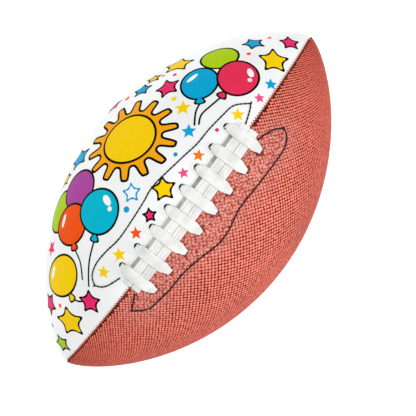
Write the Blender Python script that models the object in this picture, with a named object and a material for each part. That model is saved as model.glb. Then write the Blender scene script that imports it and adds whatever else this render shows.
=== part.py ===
"""Junior-size American football with an open lacing.

Metres, +Z up. The ball lies on its side with its lacing on top: X runs from tip to tip, the printed
half faces -Y, the pebbled half faces +Y, and the origin is under the middle of the ball, on the
surface that it lies on. Every layer of the ball follows one profile, r = R * cos(angle) ** (2 * power),
and every piece is placed on it by an angle along the ball and a distance around it.
"""

import math

import bmesh
import bpy
from mathutils import Matrix, Vector

# Driving dimensions of the ball
BALL_LENGTH = 0.260
BALL_DIAMETER = 0.150
PROFILE_POWER = 0.74
TIP_HOLE_RADIUS = 0.0006
SEAM_GAP = 0.0003
CLEARANCE = 0.0003

# Walls, from the outside in
PANEL_WALL = 0.0022
LINING_WALL = 0.0008
FACING_WALL = 0.0010
GUARD_WALL = 0.0008
BLADDER_WALL = 0.0010

# Seams: each panel's edges are turned in and stitched through
SEAM_EDGE_WIDTH = 0.0020
SEAM_EDGE_DEPTH = 0.0022
EDGE_SPREAD = 1.4  # a turned-in edge is this much wider where it meets the wall
SEAM_THREAD_RADIUS = 0.0004

# Lacing
LACE_COUNT = 8
LACE_PITCH = 0.01525
LACE_HOLE_OFFSET = 0.0123
LACE_HOLE_RADIUS = 0.0026
LACE_WIDTH = 0.0075
LACE_WIDTH_IN_HOLE = 0.0038
LACE_WALL = 0.0012
STRIP_WIDTH = 0.0059
STRIP_WALL = 0.0013
STRIP_OVERHANG = 0.0035
STRIP_GROOVE = 0.0004

# Reinforcement round the lacing
FACING_HALF_WIDTH = 0.0290
FACING_END_HALF_WIDTH = 0.0190
FACING_OVERHANG = 0.0250
FACING_THREAD_RADIUS = 0.0004
GUARD_HALF_WIDTH = 0.0150
GUARD_OVERHANG = 0.0120

# Valve, in the middle of the pebbled back panel
VALVE_ANGLE = math.radians(135)
VALVE_NECK_RADIUS = 0.0036
VALVE_SINK = 0.0003
VALVE_CHAMFER = 0.0003
VALVE_FLANGE_RADIUS = 0.0080
VALVE_FLANGE_WALL = 0.0010
VALVE_BOSS_RADIUS = 0.0032
VALVE_BOSS_LENGTH = 0.0045
NEEDLE_RADIUS = 0.0011
CORE_RADIUS = 0.0017
PATCH_RADIUS = 0.0130
PATCH_WALL = 0.0008

# How finely the solids are cut
STATIONS = 24
QUARTER_COLUMNS = 8
HOLE_SIDES = 10
VALVE_SIDES = 16
TIP_MARGIN_STATIONS = 2

QUARTER = math.pi / 2
BALL_RADIUS = BALL_DIAMETER / 2
TIP_ANGLE = math.acos((TIP_HOLE_RADIUS / BALL_RADIUS) ** (1 / (2 * PROFILE_POWER)))
HALF_AXIS = BALL_LENGTH / 2 / math.sin(TIP_ANGLE)
# A wall keeps its thickness along the ball if each end closes in by this share of it
AXIAL_SHARE = PROFILE_POWER * BALL_RADIUS / HALF_AXIS + HALF_AXIS / (2 * BALL_RADIUS)
CENTRE = Vector((0, 0, BALL_RADIUS))

# A layer made of flat facets sags below the true curve by this much in the middle of a facet
COLUMN_SAG = BALL_RADIUS * (1 - math.cos(QUARTER / QUARTER_COLUMNS / 2))
STATION_SAG = BALL_RADIUS * PROFILE_POWER * (TIP_ANGLE / STATIONS) ** 2
FACET_SAG = COLUMN_SAG + STATION_SAG

LINING_DEPTH = PANEL_WALL + CLEARANCE
FACING_DEPTH = LINING_DEPTH + LINING_WALL + FACET_SAG + CLEARANCE
INNER_LACE_DEPTH = FACING_DEPTH + FACING_WALL + 2 * CLEARANCE
GUARD_DEPTH = INNER_LACE_DEPTH + LACE_WALL + CLEARANCE
SEAM_EDGE_FOOT = PANEL_WALL + SEAM_EDGE_DEPTH
SEAM_THREAD_DEPTH = SEAM_EDGE_FOOT + FACET_SAG + CLEARANCE + SEAM_THREAD_RADIUS
BLADDER_DEPTH = LINING_DEPTH + LINING_WALL + CLEARANCE
BLADDER_SEAM_DEPTH = SEAM_THREAD_DEPTH + SEAM_THREAD_RADIUS + CLEARANCE
BLADDER_LACE_DEPTH = GUARD_DEPTH + GUARD_WALL + 2 * CLEARANCE
BLADDER_SAG = 4 * STATION_SAG  # its facets are two stations long
PATCH_DEPTH = BLADDER_DEPTH + BLADDER_WALL + BLADDER_SAG + CLEARANCE
VALVE_HOLE_RADIUS = VALVE_NECK_RADIUS + 1.5 * CLEARANCE

LACE_SPAN = (LACE_COUNT - 1) * LACE_PITCH
STRIP_LENGTH = LACE_SPAN + LACE_WIDTH + 2 * STRIP_OVERHANG
LACING_LENGTH = STRIP_LENGTH + 0.004
FACING_LENGTH = LACE_SPAN + 2 * FACING_OVERHANG
GUARD_LENGTH = LACE_SPAN + 2 * GUARD_OVERHANG

# The four quarters of the cover, each named with the angle where it starts; 0 is the lacing
QUARTERS = {
    "printed_lace_side": -QUARTER,
    "printed_back": -2 * QUARTER,
    "pebbled_lace_side": 0.0,
    "pebbled_back": QUARTER,
}
SIDES = {"printed": -1, "pebbled": 1}

# Course of the reinforcement's hand-guided stitching, as shares of the facing's half length along
# the ball and of its half width out from the seam
STITCH_COURSE = {
    "printed": (
        (-0.79, 0.26), (-0.93, 0.33), (-0.88, 0.52), (-0.71, 0.64), (-0.54, 0.72), (-0.27, 0.84),
        (-0.05, 0.91), (0.22, 0.90), (0.38, 0.83), (0.54, 0.83), (0.77, 0.74), (0.88, 0.64),
        (0.94, 0.50), (0.89, 0.38), (0.78, 0.29),
    ),
    "pebbled": (
        (-0.75, 0.29), (-0.84, 0.38), (-0.94, 0.54), (-0.90, 0.64), (-0.83, 0.72), (-0.51, 0.83),
        (-0.38, 0.74), (-0.23, 0.78), (-0.08, 0.87), (0.09, 0.88), (0.33, 0.69), (0.48, 0.67),
        (0.70, 0.69), (0.80, 0.63), (0.88, 0.53), (0.94, 0.37), (0.87, 0.28), (0.79, 0.26),
    ),
}

COLOURS = {
    "white_film": ((0.86, 0.87, 0.88), 0.35),
    "pebbled_cover": ((0.62, 0.14, 0.09), 0.55),
    "white_lace": ((0.84, 0.84, 0.84), 0.45),
    "lining_cloth": ((0.70, 0.66, 0.58), 0.90),
    "facing_fibre": ((0.30, 0.24, 0.20), 0.85),
    "black_thread": ((0.02, 0.02, 0.02), 0.70),
    "bladder_rubber": ((0.05, 0.05, 0.05), 0.60),
    "valve_rubber": ((0.10, 0.10, 0.10), 0.50),
}


def finish(name):
    """The plain material of that name, made once."""
    material = bpy.data.materials.get(name)
    if material is None:
        colour, roughness = COLOURS[name]
        material = bpy.data.materials.new(name)
        material.use_nodes = True
        shader = material.node_tree.nodes["Principled BSDF"]
        shader.inputs["Base Color"].default_value = (*colour, 1)
        shader.inputs["Roughness"].default_value = roughness
        shader.inputs["Metallic"].default_value = 0
    return material


def profile(angle):
    """Share of the ball's radius at an angle along the ball, 0 at its middle."""
    return math.cos(angle) ** (2 * PROFILE_POWER)


def station_angle(station):
    return TIP_ANGLE * (2 * station / STATIONS - 1)


def column_angle(station, start, share):
    """Angle round the ball, a share of the way across the quarter that begins at start."""
    outer_radius = BALL_RADIUS * profile(station_angle(station))
    edge = math.asin(SEAM_GAP / 2 / outer_radius)
    return start + edge + share * (QUARTER - 2 * edge)


def layer_point(station, around, depth):
    """Point of the layer that lies depth inside the cover's outer surface."""
    angle = station_angle(station)
    radius = (BALL_RADIUS - depth) * profile(angle)
    x = (HALF_AXIS - AXIAL_SHARE * depth) * math.sin(angle)
    return Vector((x, radius * math.sin(around), radius * math.cos(around))) + CENTRE


def radius_at(x):
    return BALL_RADIUS * (1 - (x / HALF_AXIS) ** 2) ** PROFILE_POWER


def slope_at(x):
    share = x / HALF_AXIS
    steepness = (1 - share**2) ** (PROFILE_POWER - 1)
    return -2 * BALL_RADIUS * PROFILE_POWER * share * steepness / HALF_AXIS


def surface_frame(x, around):
    """Directions at a point of the outer surface: along the ball, around it, and outwards."""
    outward_yz = Vector((0, math.sin(around), math.cos(around)))
    slope = slope_at(x)
    along = (Vector((1, 0, 0)) + slope * outward_yz).normalized()
    outward = (outward_yz - slope * Vector((1, 0, 0))).normalized()
    return along, Vector((0, math.cos(around), -math.sin(around))), outward


def surface_point(x, offset, height, centre_angle=0.0):
    """Point at x, an arc length round from centre_angle, and height above the outer surface."""
    radius = radius_at(x)
    around = centre_angle + offset / radius
    _, _, outward = surface_frame(x, around)
    foot = Vector((x, radius * math.sin(around), radius * math.cos(around))) + CENTRE
    return foot + height * outward


def add_object(name, bm, material):
    bmesh.ops.recalc_face_normals(bm, faces=bm.faces)
    mesh = bpy.data.meshes.new(name)
    bm.to_mesh(mesh)
    bm.free()
    mesh.shade_smooth()
    mesh.set_sharp_from_angle(angle=math.radians(40))
    piece = bpy.data.objects.new(name, mesh)
    bpy.context.collection.objects.link(piece)
    if material:
        mesh.materials.append(finish(material))
    return piece


def bridge_rows(bm, first, second, closed):
    """Faces between two rows of vertices, and round from the last column to the first if closed."""
    columns = len(first)
    for j in range(columns if closed else columns - 1):
        k = (j + 1) % columns
        bm.faces.new((first[j], first[k], second[k], second[j]))


def shell(name, outer, inner, material, closed=False):
    """Closed body between two grids of points that have the same rows and columns."""
    bm = bmesh.new()
    outside = [[bm.verts.new(point) for point in row] for row in outer]
    inside = [[bm.verts.new(point) for point in row] for row in inner]
    for grid in (outside, inside):
        for first, second in zip(grid, grid[1:]):
            bridge_rows(bm, first, second, closed)
    for row in (0, -1):
        bridge_rows(bm, outside[row], inside[row], closed)
    if not closed:
        for column in (0, -1):
            edge_out = [row[column] for row in outside]
            edge_in = [row[column] for row in inside]
            bridge_rows(bm, edge_out, edge_in, False)
    return add_object(name, bm, material)


def capped_solid(name, rows, material):
    """Solid lofted through closed rows of points, with a flat cap at each end."""
    bm = bmesh.new()
    loops = [[bm.verts.new(point) for point in row] for row in rows]
    for first, second in zip(loops, loops[1:]):
        bridge_rows(bm, first, second, True)
    bm.faces.new(loops[0])
    bm.faces.new(loops[-1])
    return add_object(name, bm, material)


def as_cutter(piece):
    piece.hide_render = True
    piece.display_type = "WIRE"
    return piece


def cut(piece, cutter):
    boolean = piece.modifiers.new(f"cut by {cutter.name}", "BOOLEAN")
    boolean.operation = "DIFFERENCE"
    boolean.object = cutter


def drill(name, places, radius, top, bottom):
    """Cutter made of one straight drill for each place, a (x, offset, centre angle)."""
    bm = bmesh.new()
    for x, offset, centre_angle in places:
        along, across, outward = surface_frame(x, centre_angle + offset / radius_at(x))
        turn = Matrix((along, across, outward)).transposed().to_4x4()
        middle = surface_point(x, offset, (top + bottom) / 2, centre_angle)
        bmesh.ops.create_cone(
            bm,
            cap_ends=True,
            segments=HOLE_SIDES,
            radius1=radius,
            radius2=radius,
            depth=top - bottom,
            matrix=Matrix.Translation(middle) @ turn,
        )
    return as_cutter(add_object(name, bm, None))


def thread(name, points, radius, material):
    """Round thread through the points, with closed ends."""
    curve = bpy.data.curves.new(name, "CURVE")
    curve.dimensions = "3D"
    curve.bevel_depth = radius
    curve.bevel_resolution = 0
    curve.use_fill_caps = True
    spline = curve.splines.new("POLY")
    spline.points.add(len(points) - 1)
    for target, point in zip(spline.points, points):
        target.co = (*point, 1)
    piece = bpy.data.objects.new(name, curve)
    bpy.context.collection.objects.link(piece)
    curve.materials.append(finish(material))
    return piece


def smooth_course(points, steps):
    """Points on a smooth curve through the given ones, which are (along, out) pairs."""
    points = [Vector(point) for point in points]
    padded = [points[0], *points, points[-1]]
    result = []
    for before, start, end, after in zip(padded, padded[1:], padded[2:], padded[3:]):
        for step in range(steps):
            t = step / steps
            leave = (end - before) / 2
            arrive = (after - start) / 2
            along = start.lerp(end, t * t * (3 - 2 * t))
            result.append(along + leave * t * (1 - t) ** 2 - arrive * t * t * (1 - t))
    return [*result, points[-1]]


def has_stitched_edge(station, seam_angle):
    """The lacing leaves its two edges unstitched; every other seam runs from tip to tip."""
    x = HALF_AXIS * math.sin(station_angle(station))
    return abs(seam_angle) > 0.1 or abs(x) > LACING_LENGTH / 2


def edge_depth(station, seam_angle):
    """How deep a panel's turned-in edge reaches, less towards the tips."""
    if not has_stitched_edge(station, seam_angle):
        return PANEL_WALL
    return PANEL_WALL + SEAM_EDGE_DEPTH * profile(station_angle(station)) ** 0.5


def edge_shares(station):
    """Shares of a quarter at which a turned-in edge ends and at which the plain wall begins."""
    radius = BALL_RADIUS * profile(station_angle(station))
    edge = min(SEAM_EDGE_WIDTH / radius / QUARTER, 0.06)
    return edge, edge * EDGE_SPREAD


def make_panel(name, start, material):
    outer = []
    inner = []
    for station in range(STATIONS + 1):
        edge, wall = edge_shares(station)
        middle = [column / QUARTER_COLUMNS for column in range(1, QUARTER_COLUMNS)]
        shares = [0, edge, wall, *middle, 1 - wall, 1 - edge, 1]
        first = edge_depth(station, start)
        last = edge_depth(station, start + QUARTER)
        depths = [first, first, *[PANEL_WALL] * (len(shares) - 4), last, last]
        angles = [column_angle(station, start, share) for share in shares]
        outer.append([layer_point(station, angle, 0) for angle in angles])
        inner.append([layer_point(station, angle, depth) for angle, depth in zip(angles, depths)])
    return shell(name, outer, inner, material)


def make_lining(name, start):
    """Cloth laminated inside a panel, up to the feet of its turned-in edges."""
    outer = []
    inner = []
    for station in range(TIP_MARGIN_STATIONS, STATIONS - TIP_MARGIN_STATIONS + 1):
        radius = BALL_RADIUS * profile(station_angle(station))
        edge = edge_shares(station)[1] + 2 * CLEARANCE / radius / QUARTER
        middle = [column / QUARTER_COLUMNS for column in range(1, QUARTER_COLUMNS)]
        angles = [column_angle(station, start, share) for share in (edge, *middle, 1 - edge)]
        outer.append([layer_point(station, angle, LINING_DEPTH) for angle in angles])
        inner.append([layer_point(station, angle, LINING_DEPTH + LINING_WALL) for angle in angles])
    return shell(name, outer, inner, "lining_cloth")


def strip_grid(xs, edges, height):
    """Grid of points over a strip that runs along the ball; edges(x) gives its two edges."""
    columns = 4
    rows = []
    for x in xs:
        near, far = edges(x)
        offsets = [near + (far - near) * column / columns for column in range(columns + 1)]
        rows.append([surface_point(x, offset, height) for offset in offsets])
    return rows


def spread(length, count):
    return [length * (i / count - 0.5) for i in range(count + 1)]


def make_strip(name, length, rows, edges, top, wall, material):
    xs = spread(length, rows)
    outer = strip_grid(xs, edges, top)
    inner = strip_grid(xs, edges, top - wall)
    return shell(name, outer, inner, material)


def facing_half_width(x):
    taper = abs(2 * x / FACING_LENGTH) ** 3
    return FACING_HALF_WIDTH + (FACING_END_HALF_WIDTH - FACING_HALF_WIDTH) * taper


def make_facing(side_name, side):
    """Reinforcement strip inside the lining, with the lace holes through it."""
    inner_edge = SEAM_EDGE_WIDTH * EDGE_SPREAD + CLEARANCE

    def edges(x):
        return side * inner_edge, side * facing_half_width(x)

    name = f"lace_facing_{side_name}"
    return make_strip(name, FACING_LENGTH, 14, edges, -FACING_DEPTH, FACING_WALL, "facing_fibre")


def make_lace_strip(side_name, side):
    """One of the two flat strips that run along the opening under the cross laces."""

    def edges(_):
        return side * STRIP_GROOVE / 2, side * (STRIP_GROOVE / 2 + STRIP_WIDTH)

    top = CLEARANCE + STRIP_WALL
    return make_strip(f"lace_strip_{side_name}", STRIP_LENGTH, 12, edges, top, STRIP_WALL, "white_lace")


def make_lace_guard():
    """Soft tongue that keeps the lacing off the bladder."""

    def edges(_):
        return -GUARD_HALF_WIDTH, GUARD_HALF_WIDTH

    return make_strip("lace_guard", GUARD_LENGTH, 12, edges, -GUARD_DEPTH, GUARD_WALL, "lining_cloth")


def lace_x(index):
    return LACE_PITCH * (index - (LACE_COUNT - 1) / 2)


def lace_course():
    """The lace from end to end as (x, offset, height, width, turn), where turn swings its width.

    It comes up through each hole on the printed side, crosses over both strips, goes down on the
    pebbled side, and runs back slantwise under the facings to the next hole.
    """
    over = CLEARANCE + STRIP_WALL + CLEARANCE + LACE_WALL / 2
    under = -(INNER_LACE_DEPTH + LACE_WALL / 2)
    strip_edge = STRIP_GROOVE / 2 + STRIP_WIDTH
    hole = LACE_HOLE_OFFSET
    lip = hole - LACE_HOLE_RADIUS + LACE_WALL
    rest = CLEARANCE + LACE_WALL / 2
    narrow = LACE_WIDTH_IN_HOLE
    half_crossing = (
        (0.0, over, LACE_WIDTH),
        (strip_edge + 0.0003, over, LACE_WIDTH),
        ((strip_edge + lip) / 2, (over + rest) / 2 + 0.0002, LACE_WIDTH * 0.94),
        (lip, rest + LACE_WALL / 4, narrow * 1.3),
        (hole - LACE_WALL / 5, LACE_WALL / 4, narrow),
        (hole, -LACE_WALL, narrow),
        (hole, under + LACE_WALL * 1.2, narrow),
        (hole - 0.0003, under + LACE_WALL * 0.45, narrow),
    )
    back_start = hole - LACE_HOLE_RADIUS + 0.0003
    swing = math.atan2(LACE_PITCH, 2 * back_start)
    tail_end = 0.002
    course = [(lace_x(0), -tail_end, under, narrow, 0.0), (lace_x(0), -back_start, under, narrow, 0.0)]
    for index in range(LACE_COUNT):
        x = lace_x(index)
        course += [(x, -offset, height, width, 0.0) for offset, height, width in reversed(half_crossing)]
        course += [(x, offset, height, width, 0.0) for offset, height, width in half_crossing[1:]]
        if index == LACE_COUNT - 1:
            continue
        for share in (0.0, 0.25, 0.5, 0.75, 1.0):
            offset = back_start * (1 - 2 * share)
            course.append((x + LACE_PITCH * share, offset, under, narrow * 1.2, swing))
    course += [(lace_x(LACE_COUNT - 1), offset, under, narrow, 0.0) for offset in (back_start, tail_end)]
    return course


def make_lace():
    """The one long flat lace, swept along its whole course."""
    course = lace_course()
    centres = [surface_point(x, offset, height) for x, offset, height, _, _ in course]
    rows = []
    for i, (x, offset, _, width, turn) in enumerate(course):
        along, across, _ = surface_frame(x, offset / radius_at(x))
        side = math.cos(turn) * along + math.sin(turn) * across
        travel = centres[min(i + 1, len(centres) - 1)] - centres[max(i - 1, 0)]
        side = (side - side.project(travel)).normalized()
        up = travel.cross(side).normalized()
        half = side * width / 2
        thick = up * LACE_WALL / 2
        rows.append([centres[i] + corner for corner in (half + thick, thick - half, -half - thick, half - thick)])
    return capped_solid("lace_thong", rows, "white_lace")


def make_facing_stitch(side_name, side):
    height = CLEARANCE + FACING_THREAD_RADIUS
    course = smooth_course(STITCH_COURSE[side_name], 3)
    half_length = FACING_LENGTH / 2
    points = [
        surface_point(along * half_length, side * out * FACING_HALF_WIDTH, height) for along, out in course
    ]
    return thread(f"facing_stitch_{side_name}", points, FACING_THREAD_RADIUS, "black_thread")


def make_seam_thread(name, seam_angle, x_start, x_end, count):
    """Thread that binds two turned-in edges, along their feet."""
    xs = [x_start + (x_end - x_start) * i / count for i in range(count + 1)]
    points = [surface_point(x, 0, -SEAM_THREAD_DEPTH, seam_angle) for x in xs]
    return thread(name, points, SEAM_THREAD_RADIUS, "black_thread")


def bladder_depth(station, column):
    """The bladder gives way to the seams and, under the lacing, to the guard."""
    from_lacing = min(column, 4 * QUARTER_COLUMNS - column)
    facing_columns = math.ceil(FACING_HALF_WIDTH / BALL_RADIUS * QUARTER_COLUMNS / QUARTER)
    facing_stations = math.asin(FACING_LENGTH / 2 / HALF_AXIS) * STATIONS / (2 * TIP_ANGLE)
    if from_lacing <= facing_columns and abs(station - STATIONS / 2) < facing_stations + 2:
        return BLADDER_LACE_DEPTH
    return BLADDER_SEAM_DEPTH if column % QUARTER_COLUMNS == 0 else BLADDER_DEPTH


def bladder_rows(wall):
    columns = 4 * QUARTER_COLUMNS
    stations = range(TIP_MARGIN_STATIONS, STATIONS - TIP_MARGIN_STATIONS + 1, 2)
    return [
        [
            layer_point(station, QUARTER * column / QUARTER_COLUMNS, bladder_depth(station, column) + wall)
            for column in range(columns)
        ]
        for station in stations
    ]


def make_bladder():
    bladder = capped_solid("bladder", bladder_rows(0), "bladder_rubber")
    inside = bladder_rows(BLADDER_WALL)
    hollow = as_cutter(capped_solid("bladder_hollow", inside, None))
    cut(bladder, hollow)
    return bladder


def valve_point(radius, around, height):
    """Point at a distance from the valve's axis, height above the cover's surface at the axis."""
    along, across, outward = surface_frame(0, VALVE_ANGLE)
    foot = surface_point(0, 0, height, VALVE_ANGLE)
    return foot + radius * (math.cos(around) * along + math.sin(around) * across)


def turns(count):
    return [2 * math.pi * i / count for i in range(count)]


def make_valve_stem():
    """Turned rubber body: a neck through the cover, a flange inside the bladder and a boss."""
    flange_top = -(PATCH_DEPTH + PATCH_WALL + CLEARANCE + VALVE_FLANGE_RADIUS**2 / BALL_RADIUS / 2)
    flange_foot = flange_top - VALVE_FLANGE_WALL
    boss_foot = flange_foot - VALVE_BOSS_LENGTH
    socket_top = flange_top
    core_space = CORE_RADIUS + CLEARANCE
    outline = (
        (NEEDLE_RADIUS, -VALVE_SINK),
        (VALVE_NECK_RADIUS - VALVE_CHAMFER, -VALVE_SINK),
        (VALVE_NECK_RADIUS, -VALVE_SINK - VALVE_CHAMFER),
        (VALVE_NECK_RADIUS, flange_top),
        (VALVE_FLANGE_RADIUS, flange_top),
        (VALVE_FLANGE_RADIUS, flange_foot),
        (VALVE_BOSS_RADIUS, flange_foot),
        (VALVE_BOSS_RADIUS, boss_foot),
        (core_space, boss_foot),
        (core_space, socket_top),
        (NEEDLE_RADIUS, socket_top),
    )
    bm = bmesh.new()
    loops = [
        [bm.verts.new(valve_point(radius, around, height)) for around in turns(VALVE_SIDES)]
        for radius, height in outline
    ]
    for first, second in zip(loops, [*loops[1:], loops[0]]):
        bridge_rows(bm, first, second, True)
    add_object("valve_stem", bm, "valve_rubber")
    return socket_top - CLEARANCE, boss_foot + CLEARANCE


def make_valve_core(top, bottom):
    """Soft plug that closes round the pump's needle."""
    rows = [
        [valve_point(radius, around, height) for around in turns(VALVE_SIDES)]
        for radius, height in ((CORE_RADIUS, top), (CORE_RADIUS, bottom))
    ]
    return capped_solid("valve_core", rows, "valve_rubber")


def make_valve_patch():
    """Round patch that spreads the stem's flange over the bladder wall."""
    grids = []
    for depth in (PATCH_DEPTH, PATCH_DEPTH + PATCH_WALL):
        rings = []
        for share in (0.0, 0.5, 1.0):
            ring = VALVE_HOLE_RADIUS + share * (PATCH_RADIUS - VALVE_HOLE_RADIUS)
            rings.append(
                [
                    surface_point(ring * math.cos(around), ring * math.sin(around), -depth, VALVE_ANGLE)
                    for around in turns(VALVE_SIDES)
                ]
            )
        grids.append(rings)
    return shell("valve_patch", grids[0], grids[1], "bladder_rubber", closed=True)


def build():
    for old in list(bpy.data.objects):
        bpy.data.objects.remove(old)

    panels = {}
    linings = {}
    for name, start in QUARTERS.items():
        cover = "white_film" if name.startswith("printed") else "pebbled_cover"
        panels[name] = make_panel(f"panel_{name}", start, cover)
        linings[name] = make_lining(f"lining_{name}", start)

    drill_foot = -(INNER_LACE_DEPTH + LACE_WALL)
    for side_name, side in SIDES.items():
        facing = make_facing(side_name, side)
        places = [(lace_x(index), side * LACE_HOLE_OFFSET, 0.0) for index in range(LACE_COUNT)]
        holes = drill(f"lace_holes_{side_name}", places, LACE_HOLE_RADIUS, LACE_WIDTH_IN_HOLE, drill_foot)
        front = f"{side_name}_lace_side"
        for piece in (panels[front], linings[front], facing):
            cut(piece, holes)
        make_lace_strip(side_name, side)
        make_facing_stitch(side_name, side)
    make_lace()
    make_lace_guard()

    tip_x = HALF_AXIS * math.sin(station_angle(STATIONS - TIP_MARGIN_STATIONS)) - SEAM_EDGE_FOOT
    lacing_end = LACING_LENGTH / 2 + LACE_PITCH / 2
    make_seam_thread("seam_thread_lace_left", 0.0, -tip_x, -lacing_end, 6)
    make_seam_thread("seam_thread_lace_right", 0.0, lacing_end, tip_x, 6)
    make_seam_thread("seam_thread_printed_side", -QUARTER, -tip_x, tip_x, 26)
    make_seam_thread("seam_thread_pebbled_side", QUARTER, -tip_x, tip_x, 26)
    make_seam_thread("seam_thread_back", 2 * QUARTER, -tip_x, tip_x, 26)

    bladder = make_bladder()
    core_ends = make_valve_stem()
    make_valve_core(*core_ends)
    make_valve_patch()
    valve_place = [(0.0, 0.0, VALVE_ANGLE)]
    valve_hole = drill("valve_hole", valve_place, VALVE_HOLE_RADIUS, VALVE_NECK_RADIUS, -2 * PATCH_DEPTH)
    for piece in (panels["pebbled_back"], linings["pebbled_back"], bladder):
        cut(piece, valve_hole)


build()
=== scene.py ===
"""Visual model of a junior-size American football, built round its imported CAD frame.

Metres, +Z up. X runs from tip to tip, the printed half faces -Y, the pebbled half faces +Y, and the
lacing lies on top. Every piece is placed on the ball by x, an arc length round from a meridian and a
height above the cover, so the whole ball follows one profile.
"""

import logging
import math
import random
from collections.abc import Iterable, Sequence
from dataclasses import dataclass, field
from enum import Enum
from functools import cached_property

import bmesh
import bpy
import numpy as np
from bpy.types import ID, Material, Mesh, Node, NodeSocket, NodeTree, Object
from mathutils import Matrix, Vector, geometry


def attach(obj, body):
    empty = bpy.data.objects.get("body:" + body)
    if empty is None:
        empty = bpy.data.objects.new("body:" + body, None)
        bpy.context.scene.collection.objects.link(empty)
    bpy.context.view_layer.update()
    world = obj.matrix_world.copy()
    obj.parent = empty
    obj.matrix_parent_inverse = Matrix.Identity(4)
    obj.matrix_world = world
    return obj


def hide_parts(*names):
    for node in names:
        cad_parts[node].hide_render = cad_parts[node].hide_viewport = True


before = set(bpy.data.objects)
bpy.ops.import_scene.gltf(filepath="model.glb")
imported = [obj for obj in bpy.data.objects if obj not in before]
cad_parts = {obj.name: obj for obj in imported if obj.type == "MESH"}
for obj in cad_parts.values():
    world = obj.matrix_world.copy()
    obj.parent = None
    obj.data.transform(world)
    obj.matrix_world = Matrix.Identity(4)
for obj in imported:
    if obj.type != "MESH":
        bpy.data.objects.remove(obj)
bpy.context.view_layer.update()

LOG = logging.getLogger("football")
MM = 0.001
QUARTER = math.pi / 2
LEAST = 1e-9
Pairs = Sequence[tuple[float, float]]


# ---- Small helpers ----


def linear(hex_colour: str) -> tuple[float, float, float, float]:
    """The linear RGBA of an sRGB hex colour.

    Args:
        hex_colour: six hex digits after a hash sign.

    Returns:
        Red, green, blue and an alpha of 1.
    """
    shares = [int(hex_colour[i : i + 2], 16) / 255 for i in (1, 3, 5)]
    red, green, blue = [c / 12.92 if c <= 0.04045 else ((c + 0.055) / 1.055) ** 2.4 for c in shares]
    return red, green, blue, 1.0


def add_node(
    tree: NodeTree, kind: str, inputs: dict[str | int, object] | None = None,
    stops: Sequence[tuple[float, str]] = (), **settings: object,
) -> Node:
    """Adds a node with its settings and its links.

    Args:
        tree: the tree that gets the node.
        kind: the node's type name.
        inputs: for a socket's name or number, a value or the socket that feeds it.
        stops: for a colour ramp, each stop's place from 0 to 1 and its hex colour.
        **settings: the node's own properties.

    Returns:
        The new node.
    """
    node = tree.nodes.new(kind)
    for name, value in settings.items():
        setattr(node, name, value)
    for key, value in (inputs or {}).items():
        if isinstance(value, NodeSocket):
            tree.links.new(value, node.inputs[key])
        else:
            node.inputs[key].default_value = value
    if stops:
        points = node.color_ramp.elements
        while len(points) < len(stops):
            points.new(0.5)
        for point, (place, colour) in zip(points, stops):
            point.position = place
            point.color = linear(colour)
    return node


def link_piece(name: str, data: ID) -> Object:
    """A new object of that name in the scene."""
    piece = bpy.data.objects.new(name, data)
    bpy.context.scene.collection.objects.link(piece)
    return piece


def store(mesh: Mesh, label: str, values: Sequence[object]) -> None:
    """Stores a number or a vector with each point of a mesh.

    Args:
        mesh: the mesh.
        label: the attribute's name.
        values: one number or one vector for each point.
    """
    table = np.array(values, np.float32)
    kind, key = ("FLOAT_VECTOR", "vector") if table.ndim > 1 else ("FLOAT", "value")
    mesh.attributes.new(label, kind, "POINT").data.foreach_set(key, table.ravel())


def mesh_piece(
    name: str, points: Sequence[Sequence[float]], faces: Sequence[Sequence[int]],
    material: Material | None = None, sharp_above: float = 45.0,
) -> Object:
    """A smooth-shaded piece whose faces point outwards.

    Args:
        name: the piece's name.
        points: its vertices.
        faces: its faces, by vertex number.
        material: its finish, if it has one yet.
        sharp_above: the angle between faces, in degrees, from which an edge stays sharp.

    Returns:
        The new object.
    """
    mesh = bpy.data.meshes.new(name)
    mesh.from_pydata([tuple(p) for p in points], [], [tuple(f) for f in faces])
    bm = bmesh.new()
    bm.from_mesh(mesh)
    bmesh.ops.recalc_face_normals(bm, faces=bm.faces)
    bm.to_mesh(mesh)
    bm.free()
    mesh.shade_smooth()
    mesh.set_sharp_from_angle(angle=math.radians(sharp_above))
    if material:
        mesh.materials.append(material)
    return link_piece(name, mesh)


def settle(piece: Object) -> Object:
    """Turns a piece's modifiers into plain mesh and removes them.

    Args:
        piece: the piece with live modifiers.

    Returns:
        The same piece.
    """
    graph = bpy.context.evaluated_depsgraph_get()
    made = piece.evaluated_get(graph)
    mesh = bpy.data.meshes.new_from_object(made, preserve_all_data_layers=True, depsgraph=graph)
    piece.modifiers.clear()
    old = piece.data
    piece.data = mesh
    bpy.data.meshes.remove(old)
    return piece


def discard(piece: Object) -> None:
    """Removes a piece that only helped to make others, with its mesh."""
    data = piece.data
    bpy.data.objects.remove(piece)
    bpy.data.meshes.remove(data)


def turns(count: int) -> list[float]:
    """Angles that share a full turn evenly."""
    return [math.tau * i / count for i in range(count)]


def lengths_along(points: Sequence[Vector]) -> list[float]:
    """The distance of each point of a path from its start.

    Args:
        points: the path.

    Returns:
        One length for each point, the first 0.
    """
    lengths = [0.0]
    for a, b in zip(points, points[1:]):
        lengths.append(lengths[-1] + (b - a).length)
    return lengths


def finish_piece(piece: Object, slot: str, replaced: Iterable[str] = ()) -> None:
    """Hands a finished piece to the frame.

    Args:
        piece: the piece, in its place.
        slot: the record's material slot, which is only logged; the piece keeps the finish it already has.
        replaced: the CAD nodes that it stands for.
    """
    if replaced:
        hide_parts(*replaced)
    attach(piece, "root")
    LOG.info("%s: %d faces, finish %s", piece.name, len(piece.data.polygons), slot)


# ---- The ball's shape ----


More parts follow.
